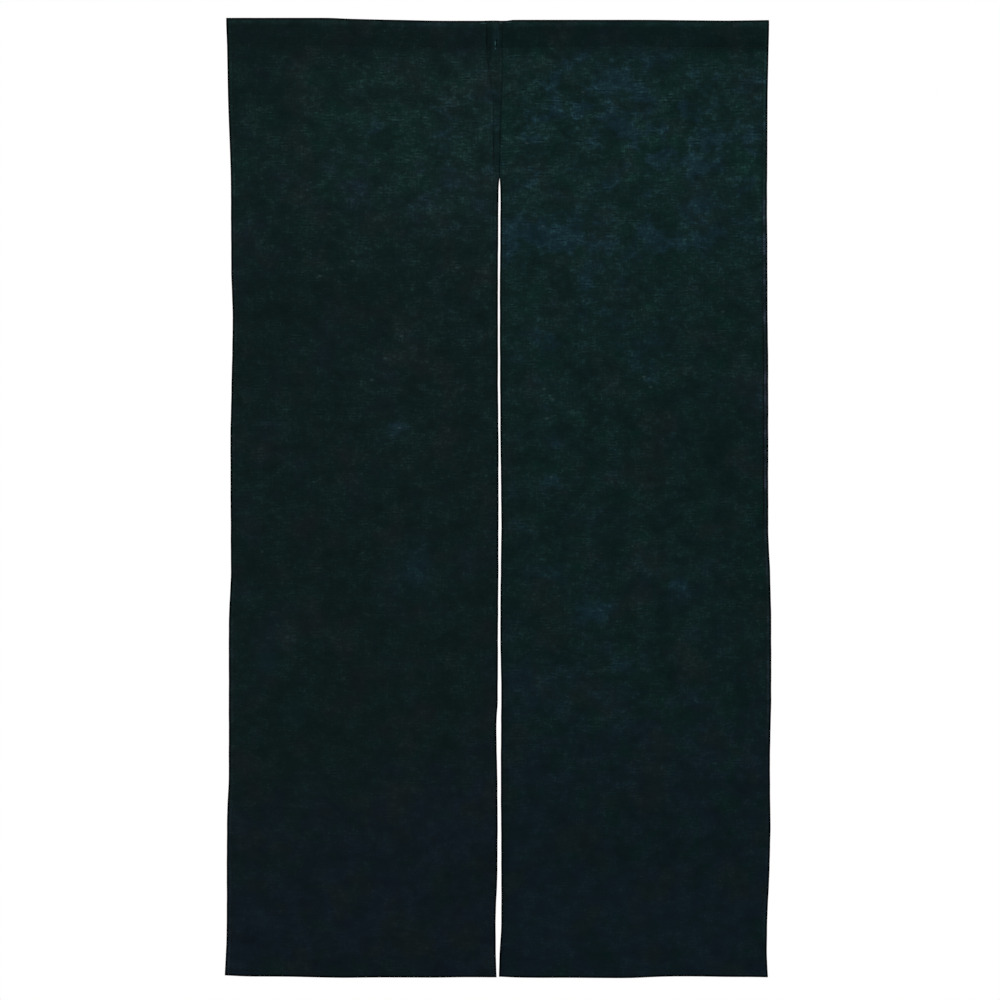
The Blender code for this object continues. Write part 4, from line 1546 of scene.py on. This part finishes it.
class NOREN_OT_stage(bpy.types.Operator):
    """Set out the floor, the soft lights and the camera."""

    bl_idname = "noren.stage"
    bl_label = "Stage"

    def execute(self, context):
        add_floor(context)
        add_lights(context)
        add_camera(context)
        return {"FINISHED"}


class NOREN_PT_sidebar(bpy.types.Panel):
    """Sizes, colours and the steps that make the curtain."""

    bl_idname = "NOREN_PT_sidebar"
    bl_label = "Noren curtain"
    bl_space_type = "VIEW_3D"
    bl_region_type = "UI"
    bl_category = "Noren"

    def draw(self, context):
        for step in STEPS:
            self.layout.operator(step.bl_idname)
        for group in (context.scene.noren_sizes, context.scene.noren_colours):
            column = self.layout.column()
            for name in group.__annotations__:
                column.prop(group, name)


STEPS = (NOREN_OT_left_panel, NOREN_OT_right_panel, NOREN_OT_stitches, NOREN_OT_stage)
CLASSES = (NorenSizes, NorenColours) + STEPS + (NOREN_PT_sidebar,)

# Stage: the camera looks straight at the curtain, as the photograph does
CAMERA_ACROSS = 0.0008
CAMERA_HEIGHT = -0.7520
CAMERA_LENS = 200.0
SENSOR = 36.0
FRAME_WIDTH = 1.5666
LIGHT_TARGET = (0.0, 0.0, -0.7)

# Area lights: name, place, size, power
LIGHTS = (
    ("key_light", (-2.6, -4.6, 2.1), 2.4, 105.0),
    ("fill_light", (3.4, -4.2, -0.2), 3.0, 30.0),
)

# The floor slab's outline: how far it reaches past half its width, and the height, at each level
FLOOR_LEVELS = ((-0.02, -0.06), (0.0, -0.05), (0.0, -0.01), (-0.01, 0.0))
FLOOR_CORNERS = ((-1, -1), (1, -1), (1, 1), (-1, 1))


def add_floor(context):
    """A thick pale slab with eased edges, well below the curtain."""
    sizes = context.scene.noren_sizes
    half = 0.5 * sizes.floor_width
    points = []
    for past, z in FLOOR_LEVELS:
        reach = half + past
        for x, y in FLOOR_CORNERS:
            points.append((x * reach, y * reach - sizes.floor_forward, z - sizes.floor_drop))
    faces = [(3, 2, 1, 0), (12, 13, 14, 15)]
    for ring in range(len(FLOOR_LEVELS) - 1):
        for i in range(4):
            k = (i + 1) % 4
            faces.append((4 * ring + i, 4 * ring + k, 4 * ring + 4 + k, 4 * ring + 4 + i))
    mesh = bpy.data.meshes.new("floor")
    mesh.from_pydata(points, [], faces)
    mesh.materials.append(floor_material(context.scene.noren_colours))
    floor = add_object("floor", mesh)


def add_lights(context):
    """Two soft lamps in front, each turned to the curtain's middle, and an even white room."""
    for name, place, size, power in LIGHTS:
        data = bpy.data.lights.new(name, "AREA")
        data.shape = "SQUARE"
        data.size = size
        data.energy = power
        light = add_object(name, data)
        light.location = place
        to_target = Vector(LIGHT_TARGET) - Vector(place)
        light.rotation_euler = to_target.to_track_quat("-Z", "Y").to_euler()
    world = bpy.data.worlds.new("soft_white_room")
    world.use_nodes = True
    sky = world.node_tree.nodes["Background"]
    sky.inputs["Color"].default_value = (1.0, 1.0, 1.0, 1.0)
    sky.inputs["Strength"].default_value = 1.0
    context.scene.world = world
    context.scene.view_settings.view_transform = "Standard"


def add_camera(context):
    data = bpy.data.cameras.new("camera")
    data.lens = CAMERA_LENS
    data.sensor_width = SENSOR
    data.sensor_fit = "HORIZONTAL"
    data.clip_end = 100.0
    camera = add_object("camera", data)
    camera.location = (CAMERA_ACROSS, -FRAME_WIDTH * CAMERA_LENS / SENSOR, CAMERA_HEIGHT)
    camera.rotation_euler = (0.5 * np.pi, 0.0, 0.0)
    context.scene.camera = camera


def register():
    for cls in CLASSES:
        bpy.utils.register_class(cls)
    bpy.types.Scene.noren_sizes = bpy.props.PointerProperty(type=NorenSizes)
    bpy.types.Scene.noren_colours = bpy.props.PointerProperty(type=NorenColours)


def unregister():
    del bpy.types.Scene.noren_sizes
    del bpy.types.Scene.noren_colours
    for cls in reversed(CLASSES):
        bpy.utils.unregister_class(cls)


def main():
    register()
    bpy.ops.noren.left_panel()
    bpy.ops.noren.right_panel()
    bpy.ops.noren.stitches()
    bpy.ops.noren.stage()


if __name__ == "__main__":
    main()
